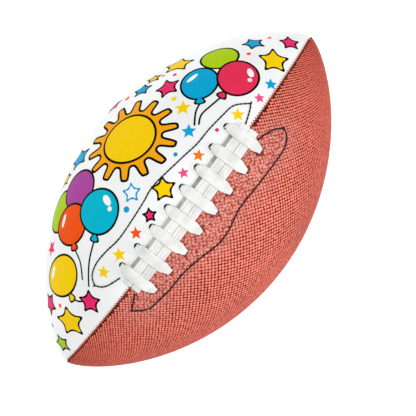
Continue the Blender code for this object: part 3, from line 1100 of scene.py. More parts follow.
@dataclass
class Cover:
    """The four panels, their pebbles and the seams that join them.

    A tooth or a stitch is given by its half length, half width, height and the depth of its foot.
    """

    wall: float = 2.2 * MM
    turned_edge: float = 2.2 * MM
    turned_width: float = 1.6 * MM
    edge_rounding: float = 1.1 * MM
    edge_steps: tuple[float, ...] = (0.0, 0.1, 0.3, 0.6, 1.0, 1.5, 2.3)
    narrow: float = 12 * MM
    rows: int = 240
    columns: int = 80
    pebble_pitch: float = 2.15 * MM
    pebble_radius: float = 1.42 * MM
    pebble_rise: float = 0.62
    pebble_jitter: float = 0.17 * MM
    worn_jitter: float = 0.55 * MM
    pebble_drift: float = 0.6 * MM
    pebble_clearance: float = 0.6 * MM
    bare_tip: float = 0.5 * MM
    seam_pitch: float = 2.1 * MM
    seam_lean: float = 0.6 * MM
    tooth: tuple[float, ...] = (0.62 * MM, 1.55 * MM, 0.41 * MM, 0.42 * MM)
    seam_stitch: tuple[float, ...] = (0.26 * MM, 1.2 * MM, 0.4 * MM, 0.5 * MM)
    facing_stitch: tuple[float, ...] = (1.8 * MM, 0.58 * MM, 0.4 * MM)
    facing_pitch: float = 2.6 * MM
    shown_hole: float = 2.3 * MM
    hole_dimple: float = 0.45 * MM
    stitch_dimple: float = 0.12 * MM
    film: Material = field(default_factory=PrintedFilm().make)
    pebbled: Material = field(default_factory=PebbledCover().make)
    cut_edge: Material = field(default_factory=CutEdge().make)
    thread: Material = field(default_factory=WaxedThread().make)
    # Dark red thread for the pebbled seams: thread, and also painted shadow between the teeth
    red_thread: Material = field(
        default_factory=WaxedThread(name="dark_red_thread", shade="#2c0705", light="#561410").make
    )

    def finish_of(self, side: Side) -> Material:
        """The material of one half."""
        return self.film if side is Side.PRINTED else self.pebbled

    def slot_of(self, side: Side) -> str:
        """The record's material slot of one half."""
        return f"{side.word}_cover"

    def dimples(self, quarter: Quarter, x: np.ndarray, offset: np.ndarray) -> np.ndarray:
        """How far the lace and the stitching draw the cover in.

        Args:
            quarter: the panel.
            x: places along the ball.
            offset: arc lengths round from the lacing's middle.

        Returns:
            The extra depth at each place.
        """
        depth = np.zeros_like(x)
        if not quarter.has_lacing:
            return depth
        for hole_x, hole_offset in LACING.holes(quarter.side.value):
            gap = np.hypot(x - hole_x, offset - hole_offset)
            depth = depth + self.hole_dimple * np.exp(-((gap / (1.4 * LACING.hole_radius)) ** 2))
        gap = StitchCourse(quarter.side).distance(x, offset)
        return depth + self.stitch_dimple * np.exp(-((gap / (0.9 * MM)) ** 2))

    def panel(self, quarter: Quarter) -> Object:
        """One panel as a closed shell with rounded seam edges that are turned in.

        Args:
            quarter: the panel to make.

        Returns:
            The panel, still without holes.
        """
        arc_end = BALL.table[1][-1]
        xs = BALL.x_at(np.linspace(-arc_end, arc_end, self.rows + 1))
        xs[0], xs[-1] = -BALL.length / 2, BALL.length / 2
        near = np.array(self.edge_steps) * MM
        x_grid, angle_grid, gap_grid = [], [], []
        for x in xs:
            radius = float(BALL.radius_at(x))
            edge = math.asin(min(BALL.seam_gap / 2 / radius, 0.5))
            width = radius * (QUARTER - 2 * edge)
            shrink = min(1.0, width / self.narrow)
            inner = np.linspace(near[-1] * shrink, width - near[-1] * shrink, self.columns + 1)[1:-1]
            places = np.concatenate([near * shrink, inner, width - near[::-1] * shrink])
            x_grid.append(np.full(places.shape, x))
            angle_grid.append(quarter.start + edge + places / radius)
            gap_grid.append(np.minimum(places, width - places) / shrink)
        x_grid, angle_grid, gap_grid = map(np.array, (x_grid, angle_grid, gap_grid))
        shrink = np.minimum(1.0, BALL.radius_at(x_grid) * QUARTER / self.narrow)
        bend = self.edge_rounding
        rolled = bend - np.sqrt(np.maximum(bend**2 - np.maximum(bend - gap_grid, 0.0) ** 2, 0.0))
        base = FILM_DEPTH if quarter.side is Side.PRINTED else PEBBLE_FOOT
        offset = angle_grid * BALL.radius_at(x_grid)
        depth = base + rolled * shrink + self.dimples(quarter, x_grid, offset)
        outer = BALL.layer(x_grid, angle_grid, depth)
        share = np.sqrt(np.maximum(1 - (x_grid / BALL.half_axis) ** 2, 0.0) ** BALL.power)
        turned = np.where(gap_grid <= self.turned_width, self.turned_edge * share, 0.0)
        if quarter.has_lacing:
            # Along the lacing the edge lies open, so nothing is turned in there
            opening = np.abs(x_grid) < LACING.strip_length / 2 + 2 * MM
            turned = np.where(opening & (np.abs(offset) < 3 * MM), 0.0, turned)
        inside = BALL.layer(x_grid, angle_grid, self.wall + turned)
        panel = self.shell(f"cover_{quarter.name}", outer, inside, self.finish_of(quarter.side))
        if quarter is Quarter.pebbled_lace_side:
            course = StitchCourse(quarter.side)
            # This mask is the wearing of the cover and also its painted sheen
            spots = x_grid.ravel(), offset.ravel()
            worn = [course.wear(*spot) for spot in zip(*spots, course.distance(*spots))]
            store(panel.data, "rubbed", worn * 2)
        return panel

    def shell(self, name: str, outer: np.ndarray, inner: np.ndarray, material: Material) -> Object:
        """A closed body between two grids of points that have the same rows and columns.

        Args:
            name: the piece's name.
            outer: the outer grid.
            inner: the inner grid.
            material: the piece's finish.

        Returns:
            The piece.
        """
        rows, columns = outer.shape[:2]
        points = np.concatenate([outer.reshape(-1, 3), inner.reshape(-1, 3)])
        step = rows * columns
        faces = []
        for i in range(rows - 1):
            for j in range(columns - 1):
                a = i * columns + j
                faces.append((a, a + 1, a + columns + 1, a + columns))
                faces.append((a + step, a + columns + step, a + columns + 1 + step, a + 1 + step))
        rim = list(range(columns))
        rim += [i * columns + columns - 1 for i in range(1, rows)]
        rim += [(rows - 1) * columns + j for j in range(columns - 2, -1, -1)]
        rim += [i * columns for i in range(rows - 2, 0, -1)]
        faces += [(b, a, a + step, b + step) for a, b in zip(rim, [*rim[1:], rim[0]])]
        return mesh_piece(name, points, faces, material)

    def punch(self, panel: Object, places: Sequence[tuple[float, float, float, float]]) -> None:
        """Cuts round holes through a panel, with a raw foam edge.

        Args:
            panel: the panel.
            places: each hole's x, arc length, centre angle and radius.
        """
        bm = bmesh.new()
        for x, offset, centre_angle, radius in places:
            angle = centre_angle + offset / float(BALL.radius_at(x))
            turn = Matrix(BALL.frame_at(x, angle)).transposed().to_4x4()
            middle = BALL.point(x, offset, -2 * MM, centre_angle)
            where = Matrix.Translation(middle) @ turn
            round_bar = {"cap_ends": True, "segments": 28, "radius1": radius, "radius2": radius}
            bmesh.ops.create_cone(bm, depth=10 * MM, matrix=where, **round_bar)
        mesh = bpy.data.meshes.new("punch")
        bm.to_mesh(mesh)
        bm.free()
        mesh.materials.append(self.cut_edge)
        cutter = link_piece("punch", mesh)
        cut = panel.modifiers.new("punch", "BOOLEAN")
        cut.operation = "DIFFERENCE"
        cut.solver = "EXACT"
        cut.material_mode = "TRANSFER"
        cut.object = cutter
        settle(panel)
        discard(cutter)
        panel.data.shade_smooth()
        panel.data.set_sharp_from_angle(angle=math.radians(40))

    def closing(self, arc: float) -> float:
        """How much smaller the pebbles are at an arc length from the middle than in the middle."""
        return max(0.45, (float(BALL.radius_at(BALL.x_at(arc))) / BALL.radius) ** 0.55)

    def lattice(self, quarter: Quarter, half: int) -> list[tuple[float, float, float]]:
        """The lattice of one half of a panel's pebbles, which closes up toward the tip.

        It is square and stands on its corner, drifts a little from side to side over a few
        centimetres, and is less even where the cover is worn.

        Args:
            quarter: the panel.
            half: -1 or 1, the sign of x.

        Returns:
            Each pebble's x, its angle and a chance from 0 to 1.
        """
        spread = random.Random(f"{quarter.name}{half}")
        row_pitch = self.pebble_pitch / math.sqrt(2)
        column_pitch = self.pebble_pitch * math.sqrt(2)
        arcs = [0.0]
        while arcs[-1] < BALL.table[1][-1] - self.pebble_clearance:
            arcs.append(arcs[-1] + row_pitch * self.closing(arcs[-1]))
        course = StitchCourse(quarter.side)
        places = []
        for row in range(0 if half < 0 else 1, len(arcs) - 1):
            arc = half * arcs[row]
            closing = self.closing(arcs[row])
            width = float(BALL.radius_at(BALL.x_at(arc))) * QUARTER
            margin = self.pebble_radius * closing * min(1.0, width / self.narrow)
            reach = int(width / 2 / column_pitch / closing) + 1
            for k in range(-reach, reach + 1):
                v = (k + 0.5 * (row % 2)) * column_pitch * closing
                drift = self.pebble_drift * math.sin(v / (15 * MM) + arc / (31 * MM))
                v += self.pebble_drift * math.sin(arc / (17 * MM) - v / (26 * MM))
                x = float(BALL.x_at(arc + drift))
                offset = quarter.middle * float(BALL.radius_at(x)) + v
                worn = quarter.has_lacing and course.holds(x, offset)
                jitter = (self.worn_jitter if worn else self.pebble_jitter) * closing
                x = float(BALL.x_at(arc + drift + spread.uniform(-1, 1) * jitter))
                v += spread.uniform(-1, 1) * jitter
                radius = float(BALL.radius_at(x))
                if abs(x) <= BALL.length / 2 - self.bare_tip and abs(v) <= radius * QUARTER / 2 - margin:
                    places.append((x, quarter.middle + v / radius, spread.random()))
        return places

    def pebbles(self, quarter: Quarter, half: int) -> Setting:
        """Where one half of a panel has its pebbles, clear of the holes and flatter where worn.

        Args:
            quarter: the panel.
            half: -1 or 1, the sign of x.

        Returns:
            The pebbles' places.
        """
        xs, angles, chances = np.array(self.lattice(quarter, half)).T
        offsets = angles * BALL.radius_at(xs)
        feet = BALL.layer(xs, angles, PEBBLE_FOOT + self.dimples(quarter, xs, offsets))
        stops = [(x, offset, LACING.hole_radius) for x, offset in LACING.holes(1)]
        if not quarter.has_lacing:
            offsets = VALVE_ANGLE * BALL.radius + (angles - VALVE_ANGLE) * BALL.radius_at(xs)
            stops = [(0.0, VALVE_ANGLE * BALL.radius, VALVE_HOLE_RADIUS)]
        course = StitchCourse(quarter.side)
        gaps = course.distance(xs, offsets)
        setting = Setting()
        for x, angle, chance, foot, offset, gap in zip(xs, angles, chances, feet, offsets, gaps):
            if any(math.hypot(x - sx, offset - so) < sr + self.pebble_clearance for sx, so, sr in stops):
                continue
            rubbed = course.wear(x, offset, gap) if quarter.has_lacing else 0.0
            height = self.pebble_rise * PEBBLE_FOOT * (1 - 0.35 * rubbed)
            along, _, outward = BALL.frame_at(x, angle)
            shrink = min(1.0, float(BALL.radius_at(x)) / (5 * MM)) * self.closing(abs(BALL.arc_at(x)))
            wide = self.pebble_radius * shrink
            size = (wide, wide, height * shrink)
            setting.add(Vector(foot), outward, along, size, 0.3 + 0.6 * chance, rubbed)
        return setting

    def seam_teeth(self, angle: float, start: float, end: float, lean: float) -> tuple[Setting, Setting]:
        """Where a seam has its gathered teeth and the stitches between them.

        Args:
            angle: the seam's angle.
            start: its x at one end.
            end: its x at the other end.
            lean: how far the teeth lie to one side of the seam, in metres.

        Returns:
            The places of the teeth and of the stitches.
        """
        teeth, stitches = Setting(), Setting()
        first, last = BALL.arc_at(start), BALL.arc_at(end)
        count = max(int((last - first) / self.seam_pitch), 1)
        for i in range(2 * count + 1):
            is_tooth = i % 2 == 0
            long, wide, high, depth = self.tooth if is_tooth else self.seam_stitch
            x = float(BALL.x_at(first + (last - first) * i / (2 * count)))
            radius = float(BALL.radius_at(x))
            shrink = min(1.0, radius * QUARTER / self.narrow)
            turn = angle + (lean * shrink / radius if is_tooth else 0.0)
            along, _, outward = BALL.frame_at(x, turn)
            foot = Vector(BALL.layer(np.array(x), np.array(turn), np.array(depth * shrink)))
            size = (long, wide * shrink, high * shrink)
            if is_tooth:
                teeth.add(foot, outward, along, size, 0.1)
            else:
                stitches.add(foot, outward, along, size)
        return teeth, stitches

    def facing_stitches(self, side: Side) -> Setting:
        """Where the stitches round the lacing's reinforcement lie.

        Args:
            side: the half of the cover.

        Returns:
            The stitches' places.
        """
        xs, offsets = StitchCourse(side).course.T
        reach = lengths_along([BALL.point(x, offset, -0.12 * MM) for x, offset in zip(xs, offsets)])
        count = int(reach[-1] / self.facing_pitch)
        setting = Setting()
        for i in range(count):
            at = reach[-1] * (i + 0.5) / count
            window = (at, max(at - 0.5 * MM, 0.0), min(at + 0.5 * MM, reach[-1]))
            here, behind, ahead = (
                (float(np.interp(t, reach, xs)), float(np.interp(t, reach, offsets))) for t in window
            )
            outward = BALL.frame_at(here[0], here[1] / float(BALL.radius_at(here[0])))[2]
            foot = BALL.point(*here, -0.1 * MM if side is Side.PRINTED else 0.0)
            way = (BALL.point(*ahead, 0) - BALL.point(*behind, 0)).normalized()
            setting.add(foot, outward, way, self.facing_stitch)
        return setting

    def build(self, setter: SettingTree) -> None:
        """Makes the panels, pebbles, seams and facing stitches and hands them to the frame.

        Args:
            setter: the tree that sets small shapes on the ball.
        """
        pebble = dome("pebble", (1.0, 0.88, 0.5))
        stitch = dome("stitch", (1.0, 0.86, 0.5))
        for quarter in Quarter:
            panel = self.panel(quarter)
            if quarter.has_lacing:
                holes = LACING.holes(quarter.side.value)
                self.punch(panel, [(x, offset, 0.0, self.shown_hole) for x, offset in holes])
            elif quarter.side is Side.PEBBLED:
                self.punch(panel, [(0.0, 0.0, VALVE_ANGLE, VALVE_HOLE_RADIUS)])
            finish_piece(panel, self.slot_of(quarter.side), [f"panel_{quarter.name}"])
            if quarter.side is Side.PRINTED:
                continue
            for half, word in ((-1, "left"), (1, "right")):
                name = f"pebbles_{quarter.name.removeprefix('pebbled_')}_{word}"
                grown = setter.set_out(name, self.pebbles(quarter, half), pebble, self.pebbled, 0.12, 0.4)
                finish_piece(grown, self.slot_of(quarter.side))
        tip = BALL.length / 2 - 2.5 * MM
        opening = LACING.strip_length / 2 + 1.5 * MM
        seams = (
            ("lace_left", 0.0, -tip, -opening, Side.PEBBLED, -self.seam_lean),
            ("lace_right", 0.0, opening, tip, Side.PEBBLED, -self.seam_lean),
            ("back", 2 * QUARTER, -tip, tip, Side.PEBBLED, self.seam_lean),
            ("printed_side", -QUARTER, -tip, tip, Side.PRINTED, 0.0),
            ("pebbled_side", QUARTER, -tip, tip, Side.PEBBLED, 0.0),
        )
        for name, angle, start, end, side, lean in seams:
            teeth, stitches = self.seam_teeth(angle, start, end, lean)
            row = setter.set_out(f"seam_teeth_{name}", teeth, stitch, self.finish_of(side), 0.1)
            finish_piece(row, self.slot_of(side))
            # Dark red thread for the pebbled seams: thread, and also painted shadow between the teeth
            thread = self.red_thread if lean else self.thread
            row = setter.set_out(f"seam_stitches_{name}", stitches, stitch, thread, 0.1)
            finish_piece(row, "black_thread", [f"seam_thread_{name}"])
        for side in Side:
            name = f"reinforcement_stitches_{side.word}"
            row = setter.set_out(name, self.facing_stitches(side), stitch, self.thread, 0.08)
            finish_piece(row, "black_thread", [f"facing_stitch_{side.word}"])
        discard(pebble)
        discard(stitch)


# ---- Printed artwork ----


class Ink(Enum):
    """The inks of the print."""

    OUTLINE = "#0b090a"
    SUN_YELLOW = "#fdd20a"
    SUN_ORANGE = "#fdac14"
    YELLOW = "#ffd503"
    SKY_BLUE = "#04a9d9"
    CYAN = "#04bbd4"
    ROSE = "#ec3158"
    PINK = "#f02b6b"
    LIGHT_PINK = "#f3528f"
    LIME = "#b0d30b"
    PURPLE = "#ad489f"
    ORANGE = "#f8550f"
    AMBER = "#f97a10"
    TEAL = "#1c9fc0"
    WHITE = "#ffffff"


Outline = list[Vector]


def oval(wide: float, high: float, count: int) -> Outline:
    """Points evenly round an ellipse with those half width and half height."""
    return [Vector((wide * math.cos(t), high * math.sin(t))) for t in turns(count)]


def sides_of(points: Outline) -> list[tuple[Vector, Vector]]:
    """The two ends of each side of an outline."""
    return list(zip(points, [*points[1:], points[0]]))


def rounded(points: Outline, rounds: int) -> Outline:
    """Cuts an outline's corners again and again until they are round.

    Args:
        points: the outline.
        rounds: how often they are cut.

    Returns:
        The new outline.
    """
    for _ in range(rounds):
        points = [a.lerp(b, share) for a, b in sides_of(points) for share in (0.25, 0.75)]
    return points


def inset(points: Outline, distance: float) -> Outline:
    """An outline moved inwards by a distance, with its corners kept sharp.

    Args:
        points: the outline, counter-clockwise.
        distance: how far in, or out where it is negative.

    Returns:
        The new outline.
    """
    result = []
    for before, (here, after) in zip([points[-1], *points[:-1]], sides_of(points)):
        first = (here - before).normalized()
        second = (after - here).normalized()
        n1, n2 = Vector((-first.y, first.x)), Vector((-second.y, second.x))
        result.append(here + (n1 + n2) * distance / (1 + n1.dot(n2)))
    return result


def star_outline(radius: float, waist: float, turn: float, points: int = 5) -> Outline:
    """A star's sharp outline, with one tip up before it is turned.

    Args:
        radius: the reach of its tips.
        waist: the reach of its inner corners, as a share of the tips'.
        turn: how far it is turned, in radians.
        points: how many tips it has.

    Returns:
        The outline.
    """
    result = []
    for i in range(2 * points):
        reach = radius if i % 2 == 0 else radius * waist
        angle = QUARTER + turn + math.pi * i / points
        result.append(Vector((reach * math.cos(angle), reach * math.sin(angle))))
    return result


@dataclass(frozen=True)
class Spot:
    """A place on the cover, with a flat local drawing board round it; the artwork's up is fixed."""

    x: float
    offset: float

    def flat(self, place: Vector) -> tuple[float, float]:
        """The cover's x and arc length, in metres, of a place on the board, in millimetres.

        Args:
            place: its distance to the right and up from the spot.

        Returns:
            The x and the arc length round from the lacing's middle.
        """
        along = (-0.8 * place.y - 0.6 * place.x) * MM
        around = (-0.6 * place.y + 0.8 * place.x) * MM
        x = self.x * MM
        meridian = self.offset * MM / float(BALL.radius_at(x))
        new_x = float(BALL.x_at(BALL.arc_at(x) + along))
        return new_x, meridian * float(BALL.radius_at(new_x)) + around


@dataclass
class InkSheets:
    """The print's flat ink layers, collected by ink."""

    lattice: float = 1.4
    step: float = 0.03 * MM
    points: dict[Ink, list[tuple[float, float, float]]] = field(default_factory=dict)
    faces: dict[Ink, list[tuple[int, ...]]] = field(default_factory=dict)

    def add(
        self, ink: Ink, spot: Spot, places: Sequence[Vector], faces: Sequence[Sequence[int]], level: float
    ) -> None:
        """Adds faces that are drawn on a spot's board.

        Args:
            ink: their ink.
            spot: the board.
            places: their points in millimetres.
            faces: the faces, by number of the point.
            level: their layer, from 0 up.
        """
        known = self.points.setdefault(ink, [])
        first = len(known)
        height = -FILM_DEPTH + self.step * (1 + level)
        known += [(*spot.flat(place), height) for place in places]
        self.faces.setdefault(ink, []).extend(tuple(first + i for i in face) for face in faces)

    def fill(self, ink: Ink, spot: Spot, outline: Outline, level: float) -> None:
        """Lays a solid shape, with enough points inside it to follow the ball.

        Args:
            ink: its ink.
            spot: the board that it is drawn on.
            outline: its outline in millimetres.
            level: its layer, from 0 up.
        """
        edge = []
        for a, b in sides_of(outline):
            parts = max(1, math.ceil((b - a).length / self.lattice))
            edge += [a.lerp(b, i / parts) for i in range(parts)]
        xs, ys = [p.x for p in edge], [p.y for p in edge]
        inside = []
        for i in range(int((max(xs) - min(xs)) / self.lattice) + 1):
            for j in range(int((max(ys) - min(ys)) / self.lattice) + 1):
                place = Vector((min(xs) + (i + 0.5) * self.lattice, min(ys) + (j + 0.5) * self.lattice))
                if min((place - p).length for p in edge) > 0.45 * self.lattice:
                    inside.append(place)
        ring = list(range(len(edge)))
        places, _, faces, *_ = geometry.delaunay_2d_cdt([*edge, *inside], [], [ring], 1, 1e-5)
        self.add(ink, spot, places, faces, level)

    def stroke(self, ink: Ink, spot: Spot, course: Sequence[Vector], width: float, level: float) -> None:
        """Lays a line of even width.

        Args:
            ink: its ink.
            spot: the board that it is drawn on.
            course: the places in millimetres that it runs through.
            width: its width in millimetres.
            level: its layer, from 0 up.
        """
        line = [Vector(p) for p in smooth_course(course, 6)]
        places, faces = [], []
        for i, here in enumerate(line):
            way = (line[min(i + 1, len(line) - 1)] - line[max(i - 1, 0)]).normalized()
            side = Vector((-way.y, way.x)) * width / 2
            places += [here + side, here - side]
            if i:
                faces.append((2 * i - 2, 2 * i - 1, 2 * i + 1, 2 * i))
        self.add(ink, spot, places, faces, level)

    def build(self, wrapper: WrapTree, centre_angle: float, word: str) -> None:
        """Makes one piece for each ink on one printed panel.

        Args:
            wrapper: the tree that wraps flat meshes onto the ball.
            centre_angle: 0 for the panel by the lacing, half a turn for the one behind it.
            word: the panel's place, for the pieces' names.
        """
        turn = -1 if centre_angle else 1
        for ink, flat in self.points.items():
            name = f"print_{ink.name.lower()}_{word}"
            mesh = bpy.data.meshes.new(name)
            mesh.from_pydata([(turn * x, turn * y, z) for x, y, z in flat], [], self.faces[ink])
            bm = bmesh.new()
            bm.from_mesh(mesh)
            for face in bm.faces:
                face.normal_update()
                if face.normal.z < 0:
                    face.normal_flip()
            bm.to_mesh(mesh)
            bm.free()
            colour = ScreenInk(name=f"screen_ink_{ink.name.lower()}", colour=ink.value)
            material = bpy.data.materials.get(colour.name) or colour.make()
            piece = wrapper.wrap(link_piece(name, mesh), material, centre_angle)
            finish_piece(piece, "printed_cover")


@dataclass(frozen=True)
class Star:
    """A five-pointed star, outlined or plain; sizes in millimetres."""

    spot: Spot
    radius: float
    ink: Ink
    outlined: bool = True
    turn: float = 0.0
    widen: float = 1.0
    hollow: bool = False
    waist: float = 0.43
    line: float = 0.95
    swell: float = 0.2

    def draw(self, sheets: InkSheets) -> None:
        """Lays the star's inks.

        Args:
            sheets: the print's layers.
        """
        reach = self.radius * (1.18 if self.outlined else 1.06)
        waist = self.waist if self.outlined else 0.46
        tips = star_outline(reach, waist, math.radians(self.turn))
        outline = [Vector((p.x * self.widen, p.y)) for p in tips]
        if self.hollow:
            sheets.fill(self.ink, self.spot, rounded(outline, 1), 0)
            sheets.fill(Ink.WHITE, self.spot, rounded(inset(outline, self.line), 1), 1)
        elif self.outlined:
            sheets.fill(Ink.OUTLINE, self.spot, rounded(inset(outline, -self.swell), 3), 0)
            sheets.fill(self.ink, self.spot, rounded(inset(outline, self.line - self.swell), 3), 1)
        else:
            sheets.fill(self.ink, self.spot, outline, 0)


@dataclass(frozen=True)
class Dot:
    """A plain round dot."""

    spot: Spot
    radius: float
    ink: Ink

    def draw(self, sheets: InkSheets) -> None:
        """Lays the dot."""
        sheets.fill(self.ink, self.spot, oval(self.radius, self.radius, 16), 0)


@dataclass(frozen=True)
class Balloon:
    """A balloon with its knot, string and highlights; sizes in millimetres, its knot turned down.

    Each highlight is its place right and up, half width and half height, as shares of the balloon's
    own, and its lean in degrees. The tail's corners are places down from the knot and aside.
    """

    spot: Spot
    half_width: float
    half_height: float
    ink: Ink
    order: int = 0
    turn: float = 0.0
    knot: Vector | None = None
    string: Pairs = ()
    glints: tuple[tuple[float, float, float, float, float], ...] = ()
    line: float = 1.4
    string_width: float = 1.15
    tail: Pairs = ((-3.0, 1.1), (-3.0, -1.1), (1.2, -3.8), (2.3, 0.0), (1.2, 3.8))
    layers: float = 1.3
    ink_layer: float = 0.9
    glint_layer: float = 1.15

    def body(self, shrink: float) -> Outline:
        """The egg-shaped outline.

        Args:
            shrink: how far it is pulled in.

        Returns:
            The outline.
        """
        lean = math.radians(self.turn)
        result = []
        for t in turns(48):
            right = (self.half_width - shrink) * math.cos(t) * (1 + 0.07 * math.sin(t))
            up = (self.half_height - shrink) * math.sin(t)
            across = right * math.cos(lean) - up * math.sin(lean)
            result.append(Vector((across, right * math.sin(lean) + up * math.cos(lean))))
        return result

    def draw(self, sheets: InkSheets) -> None:
        """Lays the balloon's inks.

        Args:
            sheets: the print's layers.
        """
        base = self.layers * self.order
        if self.knot is not None:
            down = self.knot.normalized()
            side = Vector((-down.y, down.x))
            tail = [self.knot + below * down + aside * side for below, aside in self.tail]
            area = sum(a.x * b.y - b.x * a.y for a, b in sides_of(tail))
            tail = tail if area > 0 else tail[::-1]
            sheets.fill(Ink.OUTLINE, self.spot, rounded(inset(tail, -0.5), 2), base)
            sheets.fill(self.ink, self.spot, rounded(inset(tail, 0.6), 2), base + self.ink_layer)
        if self.string:
            course = [Vector(place) for place in self.string]
            sheets.stroke(Ink.OUTLINE, self.spot, course, self.string_width, base)
        sheets.fill(Ink.OUTLINE, self.spot, self.body(0.0), base)
        sheets.fill(self.ink, self.spot, self.body(self.line), base + self.ink_layer)
        for right, up, wide, high, lean in self.glints:
            tilt = Matrix.Rotation(math.radians(lean), 2)
            places = [tilt @ place for place in oval(wide, high, 20)]
            glint = [Vector(((right + p.x) * self.half_width, (up + p.y) * self.half_height)) for p in places]
            sheets.fill(Ink.WHITE, self.spot, glint, base + self.glint_layer)


@dataclass(frozen=True)
class Sun:
    """A plain sun with rounded rays; sizes in millimetres."""

    spot: Spot
    disc: tuple[float, float]
    reach: tuple[float, float]
    rays: int = 14
    valley: float = 0.70
    flatness: float = 2.2
    phase: float = 0.26
    line: float = 1.45

    def ring(self, shrink: float) -> Outline:
        """The rays' outline: flat-topped waves between the valleys and the full reach.

        Args:
            shrink: how far it is pulled in.

        Returns:
            The outline.
        """
        result = []
        for t in turns(16 * self.rays):
            wave = math.tanh(self.flatness * (math.cos(self.rays * t) + 0.1)) / math.tanh(self.flatness * 1.1)
            share = self.valley + (1.0 - self.valley) * (wave + 1) / 2
            wide, high = share * self.reach[0], share * self.reach[1]
            result.append(Vector((wide * math.cos(t + self.phase), high * math.sin(t + self.phase))))
        return inset(result, shrink)

    def draw(self, sheets: InkSheets) -> None:
        """Lays the sun's inks: rays below, disc above, each an outline and its colour.

        Args:
            sheets: the print's layers.
        """
        colours = ((-0.1, Ink.OUTLINE, Ink.OUTLINE, 0), (self.line, Ink.SUN_ORANGE, Ink.SUN_YELLOW, 0.9))
        for shrink, ink, _, level in colours:
            sheets.fill(ink, self.spot, self.ring(shrink), level)
        for shrink, _, ink, level in colours:
            disc = oval(self.disc[0] - shrink, self.disc[1] - shrink, 64)
            sheets.fill(ink, self.spot, disc, 1.8 + level)


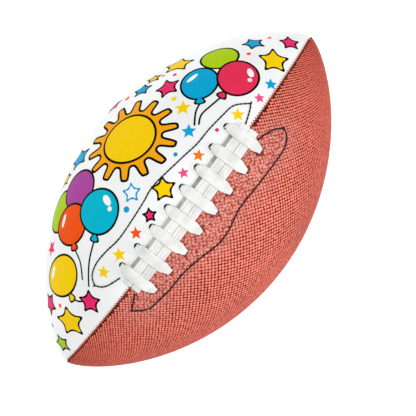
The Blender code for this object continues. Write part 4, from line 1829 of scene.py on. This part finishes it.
@dataclass
class Artwork:
    """The print of sun, balloons, stars and dots on the two printed panels."""

    sun: Sun = Sun(Spot(-10.8, -62.9), (19.9, 17.3), (34.0, 29.0))

    @property
    def balloons(self) -> tuple[Balloon, ...]:
        """The two bunches and the single balloon."""
        return (
            Balloon(Spot(-84, -46), 12.8, 11.6, Ink.LIME, 0, 20),
            Balloon(
                Spot(-64, -45), 12.6, 13.7, Ink.SKY_BLUE, 1, 8, Vector((3.6, -14.2)),
                ((4.4, -15), (2.6, -22), (3.2, -32)), ((-0.45, 0.30, 0.11, 0.34, -38),),
            ),
            Balloon(
                Spot(-81, -25), 13.6, 14.4, Ink.ROSE, 2, -4, Vector((-8.0, -14.6)),
                ((-8.5, -16), (-13.5, -22), (-19, -29), (-20.0, -36)),
                ((0.55, 0.34, 0.14, 0.25, 24), (0.56, -0.06, 0.10, 0.10, 0)),
            ),
            Balloon(Spot(34, -73), 15.6, 13.5, Ink.PURPLE, 1),
            Balloon(Spot(53, -79), 15.5, 13.5, Ink.LIME, 0, 15),
            Balloon(
                Spot(54, -60), 15.8, 13.6, Ink.ORANGE, 2, 5, Vector((2.0, -14.5)),
                ((2.0, -15), (5.5, -24), (4.0, -34)), ((-0.50, 0.30, 0.10, 0.33, -22),),
            ),
            Balloon(
                Spot(36, -47), 15.8, 14.9, Ink.CYAN, 3, 4, Vector((-4.0, -16.4)),
                ((-4.0, -17), (-10.3, -30), (-14.5, -45)),
                ((0.42, 0.42, 0.15, 0.26, 34), (0.55, 0.06, 0.10, 0.10, 0)),
            ),
            Balloon(
                Spot(84, -42), 17.9, 13.2, Ink.YELLOW, 0, 12, Vector((6.0, -14.2)),
                ((7, -15), (12, -16.6), (20.5, -16.4)), ((-0.50, 0.30, 0.10, 0.32, -30),),
            ),
        )

    @property
    def stars(self) -> tuple[Star, ...]:
        """The outlined and the plain stars, each row a place, a radius, an ink, a turn and a widening."""
        outlined = (
            (-118, -10, 6.7, Ink.PINK, 16), (-104, -32, 6.7, Ink.SKY_BLUE, -26, 1.1),
            (-103, -12, 10.0, Ink.YELLOW, 5), (-50, -64, 8.3, Ink.PINK, 30),
            (-65, -75, 8.6, Ink.YELLOW, 12, 1.35), (-49, -86, 4.6, Ink.YELLOW, 20, 1.4),
            (35, -99, 5.0, Ink.YELLOW, -10, 1.4), (-20, -109, 6.0, Ink.ROSE, 15, 1.2),
            (-39, -86, 6.0, Ink.SKY_BLUE, 10, 1.3), (19, -97, 7.5, Ink.SKY_BLUE, 10, 1.5),
            (0, -21, 7.8, Ink.YELLOW, 10), (18, -18, 4.5, Ink.PINK, 10), (85, -14, 7.9, Ink.PINK, -2),
            (104, -39, 7.4, Ink.PINK, 12, 1.2), (104, -16, 10.2, Ink.YELLOW, 2, 1.2),
            (120, -11, 6.4, Ink.LIME, 10, 1.2),
        )
        plain = (
            (-46, -43, 5.3, Ink.YELLOW, 8), (-37, -30, 4.7, Ink.SKY_BLUE, 5),
            (-29, -16, 3.8, Ink.AMBER, -5), (-15, -17, 3.5, Ink.LIGHT_PINK, 12),
            (-63, -11, 4.3, Ink.YELLOW, 2), (-90, -5, 4.2, Ink.SKY_BLUE, 0),
            (-79, -6, 3.5, Ink.LIGHT_PINK, 8), (32, -18, 4.0, Ink.ORANGE, 4),
            (49, -18, 4.5, Ink.YELLOW, 8), (64, -19, 4.3, Ink.YELLOW, -8),
            (75, -67, 5.2, Ink.PINK, 10, 1.3),
        )
        return (
            *(Star(Spot(x, y), radius, ink, True, *shape) for x, y, radius, ink, *shape in outlined),
            *(Star(Spot(x, y), radius, ink, False, *shape) for x, y, radius, ink, *shape in plain),
            Star(Spot(14, -36), 7.0, Ink.SKY_BLUE, False, 5, hollow=True),
        )

    @property
    def dots(self) -> tuple[Dot, ...]:
        """The dots between them, each row a place, a radius and an ink."""
        places = (
            (-47, -53, 1.7, Ink.YELLOW), (-54, -78, 1.3, Ink.AMBER), (-29, -96, 2.0, Ink.ORANGE),
            (43, -103, 1.8, Ink.SKY_BLUE), (-59, -68, 1.4, Ink.ROSE), (-113, -25, 1.4, Ink.AMBER),
            (-97, -29, 1.4, Ink.ORANGE), (-21, -28, 1.4, Ink.TEAL), (24, -32, 2.0, Ink.SKY_BLUE),
            (-48, -16, 1.3, Ink.ROSE), (100, -29, 1.4, Ink.ORANGE), (115, -27, 1.4, Ink.TEAL),
        )
        return tuple(Dot(Spot(x, y), radius, ink) for x, y, radius, ink in places)

    def build(self, wrapper: WrapTree) -> None:
        """Prints the artwork on both panels.

        Args:
            wrapper: the tree that wraps flat meshes onto the ball.
        """
        sheets = InkSheets()
        for motif in (self.sun, *self.balloons, *self.stars, *self.dots):
            motif.draw(sheets)
        sheets.build(wrapper, 0.0, "lace_side")
        sheets.build(wrapper, 2 * QUARTER, "back")


# ---- Lacing ----


@dataclass
class Sweep:
    """Sections set one after another along a course, to be joined into a closed body."""

    centres: list[Vector] = field(default_factory=list)
    points: list[Vector] = field(default_factory=list)
    across: list[float] = field(default_factory=list)

    def add(self, centre: Vector, side: Vector, up: Vector, outline: Pairs) -> None:
        """Adds a section.

        Args:
            centre: its middle.
            side: the way that the first value of its outline counts.
            up: the way that the second value counts.
            outline: its outline as pairs, the same number of them in every section.
        """
        self.centres.append(centre)
        self.points += [centre + side * float(wide) + up * float(high) for wide, high in outline]
        self.across += [wide / MM for wide, _ in outline]

    def piece(self, name: str, material: Material) -> Object:
        """Joins the sections, with a UV map in millimetres along and across them.

        Args:
            name: the piece's name.
            material: its finish.

        Returns:
            The piece.
        """
        count = len(self.points) // len(self.centres)
        faces = []
        for low in range(0, len(self.points) - count, count):
            for j in range(count):
                k = (j + 1) % count
                faces.append((low + j, low + k, low + count + k, low + count + j))
        faces.append(tuple(range(count)))
        faces.append(tuple(range(len(self.points) - count, len(self.points))))
        piece = mesh_piece(name, self.points, faces, material, 60)
        reach = lengths_along(self.centres)
        layer = piece.data.uv_layers.new(name="lace")
        for loop in piece.data.loops:
            place = loop.vertex_index
            layer.data[loop.index].uv = (reach[place // count] / MM, self.across[place])
        return piece


def squared(share: float, power: float) -> float:
    """A sine or cosine bent toward a square's sides by a power below 1, with its sign kept."""
    return math.copysign(abs(share) ** power, share)


@dataclass
class Lacing:
    """The flat lace and the two strips that it holds down."""

    plan: LacingPlan = LACING
    lace_wall: float = 1.2 * MM
    width_in_hole: float = 3.3 * MM
    strip_width: float = 5.9 * MM
    strip_wall: float = 1.3 * MM
    strip_gap: float = 0.12 * MM
    groove_depth: float = 0.42 * MM
    groove_place: float = 0.42
    groove_width: float = 0.12
    clearance: float = 0.3 * MM
    under_depth: float = 5.0 * MM
    lean: float = 1.3 * MM
    backing_width: float = 2.3 * MM
    backing_wall: float = 0.3 * MM
    vinyl: Material = field(default_factory=LaceVinyl().make)
    # A grey vinyl for the band beside the strips: painted shadow
    soiled: Material = field(
        default_factory=LaceVinyl(name="soiled_vinyl", light="#c9c3bc", shade="#968e86").make
    )

    def course(self) -> list[tuple[float, float, float, float, float]]:
        """The lace from end to end.

        It comes up through each hole on the printed side, crosses both strips, goes down on the
        pebbled side and runs back slantwise underneath to the next hole.

        Returns:
            Places as x, arc length, height, width and the turn of the width.
        """
        wall = self.lace_wall
        over = 2 * self.clearance + self.strip_wall + wall / 2
        strip_edge = self.strip_gap / 2 + self.strip_width
        hole = self.plan.hole_offset
        lip = hole - self.plan.hole_radius + wall
        rest = self.clearance + wall / 2
        narrow = self.width_in_hole
        wide = self.plan.lace_width
        under = -self.under_depth
        half = (
            (0.0, over, wide),
            (strip_edge * 0.5, over, wide),
            (strip_edge + 0.3 * MM, over - 0.1 * MM, wide),
            (strip_edge + 2 * MM, (over + rest) / 2 + 0.25 * MM, wide * 0.98),
            ((strip_edge + 2 * MM + lip) / 2, (over + rest) / 2 - 0.2 * MM, wide * 0.84),
            (lip, rest + wall / 4, narrow * 1.35),
            (hole - wall / 5, wall / 4, narrow),
            (hole, -wall, narrow),
            (hole, under + wall * 1.2, narrow),
            (hole - 0.3 * MM, under + wall * 0.45, narrow),
        )
        falling = over - 1 * MM
        back_start = hole - self.plan.hole_radius + 0.3 * MM
        swing = math.atan2(self.plan.pitch, 2 * back_start)
        first, last = self.plan.x_of(0), self.plan.x_of(self.plan.count - 1)
        course = [(first, -2 * MM, under, narrow, 0.0), (first, -back_start, under, narrow, 0.0)]
        for index in range(self.plan.count):
            x = self.plan.x_of(index)
            course.append((x, -half[-1][0], *half[-1][1:], 0.0))
            # Where it falls from the strips the lace is pulled outwards, more so on the pebbled side
            for sign, lean, places in ((-1, 0.4 * self.lean, half[-2::-1]), (1, self.lean, half[1:-1])):
                for offset, height, width in places:
                    leant = offset + (lean if height < falling else 0.0)
                    course.append((x, sign * leant, height, width, 0.0))
            course.append((x, *half[-1], 0.0))
            if index == self.plan.count - 1:
                continue
            for share in (0.0, 0.25, 0.5, 0.75, 1.0):
                offset = back_start * (1 - 2 * share)
                course.append((x + self.plan.pitch * share, offset, under, narrow * 1.2, swing))
        return [*course, (last, back_start, under, narrow, 0.0), (last, 2 * MM, under, narrow, 0.0)]

    def lace(self) -> Object:
        """The one long lace, flat with rounded edges and pillowed over its width.

        Returns:
            The piece.
        """
        fine = smooth_course(self.course(), 4)
        centres = [BALL.point(x, offset, height) for x, offset, height, _, _ in fine]
        thickest = self.lace_wall / 2
        sweep = Sweep()
        for i, (x, offset, _, width, turn) in enumerate(fine):
            along, across, _ = BALL.frame_at(x, offset / float(BALL.radius_at(x)))
            travel = centres[min(i + 1, len(centres) - 1)] - centres[max(i - 1, 0)]
            side = along * math.cos(turn) + across * math.sin(turn)
            side = (side - side.project(travel)).normalized()
            outline = []
            for t in turns(20):
                c, s = math.cos(t), math.sin(t)
                crown = 0.86 + 0.14 * math.cos(math.pi * min(abs(c), 1.0))
                high = squared(s, 0.6) * self.lace_wall / 2 * (1.72 - crown) / 0.98
                outline.append((squared(c, 0.45) * width / 2, min(max(high, -thickest), thickest)))
            sweep.add(centres[i], side, travel.cross(side).normalized(), outline)
        return sweep.piece("lace", self.vinyl)

    def strip(self, side: Side) -> Object:
        """One strip under the crossings: rounded edges, two shallow grooves and rounded ends.

        Args:
            side: the half of the cover that it lies on.

        Returns:
            The piece.
        """
        half = self.strip_width / 2
        outline = []
        for t in turns(72):
            wide = squared(math.cos(t), 0.7) * half
            nearest = min(abs(wide / half - self.groove_place), abs(wide / half + self.groove_place))
            depth = self.groove_depth * max(0.0, 1 - nearest / self.groove_width)
            groove = depth if math.sin(t) > 0.3 else 0.0
            outline.append((wide, self.strip_wall / 2 * squared(math.sin(t), 0.25) - groove))
        # The stations lie closer together at the ends, as shares of the half length
        even = [-1 + 2 * i / 90 for i in range(91)]
        ends = (-1, -0.998, -0.994, -0.988)
        sweep = Sweep()
        for share in sorted({*ends, *[-e for e in ends], *[s for s in even if abs(s) < 0.985]}):
            x = share * self.plan.strip_length / 2
            offset = side.value * (self.strip_gap / 2 + half)
            _, across, outward = BALL.frame_at(x, offset / float(BALL.radius_at(x)))
            gap = (1 - abs(share)) * self.plan.strip_length / 2
            squeeze = 1 - 0.35 * max(0.0, 1 - gap / (0.8 * MM)) ** 2
            centre = BALL.point(x, offset, self.clearance + self.strip_wall / 2)
            sweep.add(centre, across, outward, [(w * (0.5 + squeeze / 2), h * squeeze) for w, h in outline])
        return sweep.piece(f"lace_strip_{side.word}_side", self.vinyl)

    def backing(self) -> Object:
        """A thin dark band beside the strips on the printed side: painted shadow of the strips, laid as a
        sheet.

        Returns:
            The piece.
        """
        length = self.plan.strip_length - 2 * self.plan.strip_overhang
        low, high = -0.1 * MM, self.backing_wall - 0.1 * MM
        inner = self.strip_gap / 2 + self.strip_width - 1 * MM
        outer = self.strip_gap / 2 + self.strip_width + self.backing_width
        half = (outer - inner) / 2
        flat = ((-half, low), (half, low), (half, high), (0.0, high + 0.05 * MM), (-half, high))
        # Across its width the band bends with the ball
        outline = [(wide, rise - (half**2 - wide**2) / (2 * BALL.radius)) for wide, rise in flat]
        offset = -(inner + outer) / 2
        sweep = Sweep()
        for i in range(81):
            x = length * (i / 80 - 0.5)
            _, across, outward = BALL.frame_at(x, offset / float(BALL.radius_at(x)))
            sweep.add(BALL.point(x, offset, 0.0), across, outward, outline)
        return sweep.piece("lace_strip_backing", self.soiled)

    def build(self) -> None:
        """Makes the lace and its strips and hands them to the frame."""
        # The dark band beside the strips is painted shadow
        finish_piece(self.backing(), "white_lace")
        finish_piece(self.lace(), "white_lace", ["lace_thong"])
        for side in Side:
            finish_piece(self.strip(side), "white_lace", [f"lace_strip_{side.word}"])


# ---- Inside, studio and main ----


@dataclass
class Inside:
    """The CAD nodes that stay: linings, facings, guard, bladder and valve."""

    cloth: Material = field(default_factory=WovenCloth().make)
    facing: Material = field(
        default_factory=WovenCloth(
            "pressed_fibre_cloth", shade="#3e332b", light="#6b5a4c", spacing=0.5 * MM
        ).make
    )
    bladder: Material = field(default_factory=MouldedRubber().make)
    valve: Material = field(
        default_factory=MouldedRubber("moulded_valve_rubber", 0.5, shade="#232222", light="#2f2e2e").make
    )

    def dress(self) -> None:
        """Gives each node that stays its finish."""
        finishes = {
            "lining_": self.cloth,
            "lace_guard": self.cloth,
            "lace_facing_": self.facing,
            "bladder": self.bladder,
            "valve_patch": self.bladder,
            "valve_": self.valve,
        }
        for name, node in sorted(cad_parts.items()):
            if node.hide_render:
                continue
            chosen = next(material for start, material in finishes.items() if name.startswith(start))
            for slot in node.material_slots:
                slot.material = chosen
            LOG.info("%s: %s", name, chosen.name)


@dataclass
class Studio:
    """A white studio: floor, soft lights and the camera over the ball.

    Each light is its name, its place, the length of its sides and its watts.
    """

    tilt: float = math.radians(2.8)
    roll: float = math.radians(4.2)
    axis_angle: float = math.radians(-126.94)
    distance: float = 1.6
    seen_width: float = 264.8 * MM
    shift_right: float = 12.57 * MM
    shift_down: float = 5.25 * MM
    sensor: float = 36.0
    farthest: float = 50.0
    floor_reach: float = 6.0
    floor_glow: float = 0.5
    surroundings: float = 0.45
    lights: tuple[tuple[str, tuple[float, float, float], float, float], ...] = (
        ("overhead", (0.0, -0.15, 1.6), 1.4, 12.0),
        ("from_printed_side", (-0.3, -1.0, 1.1), 0.9, 1.5),
        ("from_pebbled_side", (-0.25, 1.2, 0.8), 0.25, 7.0),
    )

    def floor(self) -> None:
        """Lays a wide floor of matt white paint, lit through so that it stays pale."""
        mesh = bpy.data.meshes.new("floor")
        size = self.floor_reach
        corners = ((-size, -size, 0), (size, -size, 0), (size, size, 0), (-size, size, 0))
        mesh.from_pydata(corners, [], [(0, 1, 2, 3)])
        material, _, shader = Finish("matt_white_paint", 0.9).start()
        shader.inputs["Base Color"].default_value = linear("#fbfbfb")
        shader.inputs["Emission Color"].default_value = linear("#ffffff")
        shader.inputs["Emission Strength"].default_value = self.floor_glow
        mesh.materials.append(material)
        link_piece("floor", mesh)

    def light(self, name: str, place: Vector, size: float, power: float) -> None:
        """Hangs a square soft light that faces the ball.

        Args:
            name: the light's name.
            place: where it hangs.
            size: the length of its sides.
            power: its watts.
        """
        data = bpy.data.lights.new(name, "AREA")
        data.shape = "SQUARE"
        data.size = size
        data.energy = power
        lamp = link_piece(name, data)
        lamp.location = place
        lamp.rotation_euler = (place - Vector((0, 0, BALL.radius))).to_track_quat("Z", "Y").to_euler()

    def camera(self) -> None:
        """Sets the camera almost straight over the ball, whose axis slants up to the right."""
        sideways, lengthways = -math.sin(self.roll) * math.cos(self.tilt), -math.sin(self.tilt)
        back = Vector((lengthways, sideways, math.cos(self.roll) * math.cos(self.tilt)))
        axis = Vector((1, 0, 0))
        axis = (axis - axis.project(back)).normalized()
        across = back.cross(axis)
        turn = self.axis_angle
        right = math.cos(turn) * axis + math.cos(turn + QUARTER) * across
        up = math.sin(turn) * axis + math.sin(turn + QUARTER) * across
        place = Vector((0, 0, BALL.radius)) + self.distance * back
        place += right * self.shift_right - up * self.shift_down
        data = bpy.data.cameras.new("camera")
        data.sensor_width = self.sensor
        data.lens = self.sensor * self.distance / self.seen_width
        data.clip_end = self.farthest
        lens = link_piece("camera", data)
        lens.matrix_world = Matrix.Translation(place) @ Matrix((right, up, back)).transposed().to_4x4()
        bpy.context.scene.camera = lens

    def build(self) -> None:
        """Sets up floor, camera, lights and surroundings."""
        self.floor()
        self.camera()
        for name, place, size, power in self.lights:
            self.light(name, Vector(place), size, power)
        world = bpy.data.worlds.new("studio")
        world.use_nodes = True
        background = world.node_tree.nodes["Background"].inputs
        background["Color"].default_value = (1, 1, 1, 1)
        background["Strength"].default_value = self.surroundings
        bpy.context.scene.world = world
        bpy.context.scene.view_settings.view_transform = "Standard"


def main() -> None:
    """Builds the ball's sub-assemblies in order, from the cover in."""
    logging.basicConfig(level=logging.INFO, format="%(name)s: %(message)s")
    Cover().build(SettingTree())
    Artwork().build(WrapTree())
    Lacing().build()
    Inside().dress()
    Studio().build()


if __name__ == "__main__":
    main()
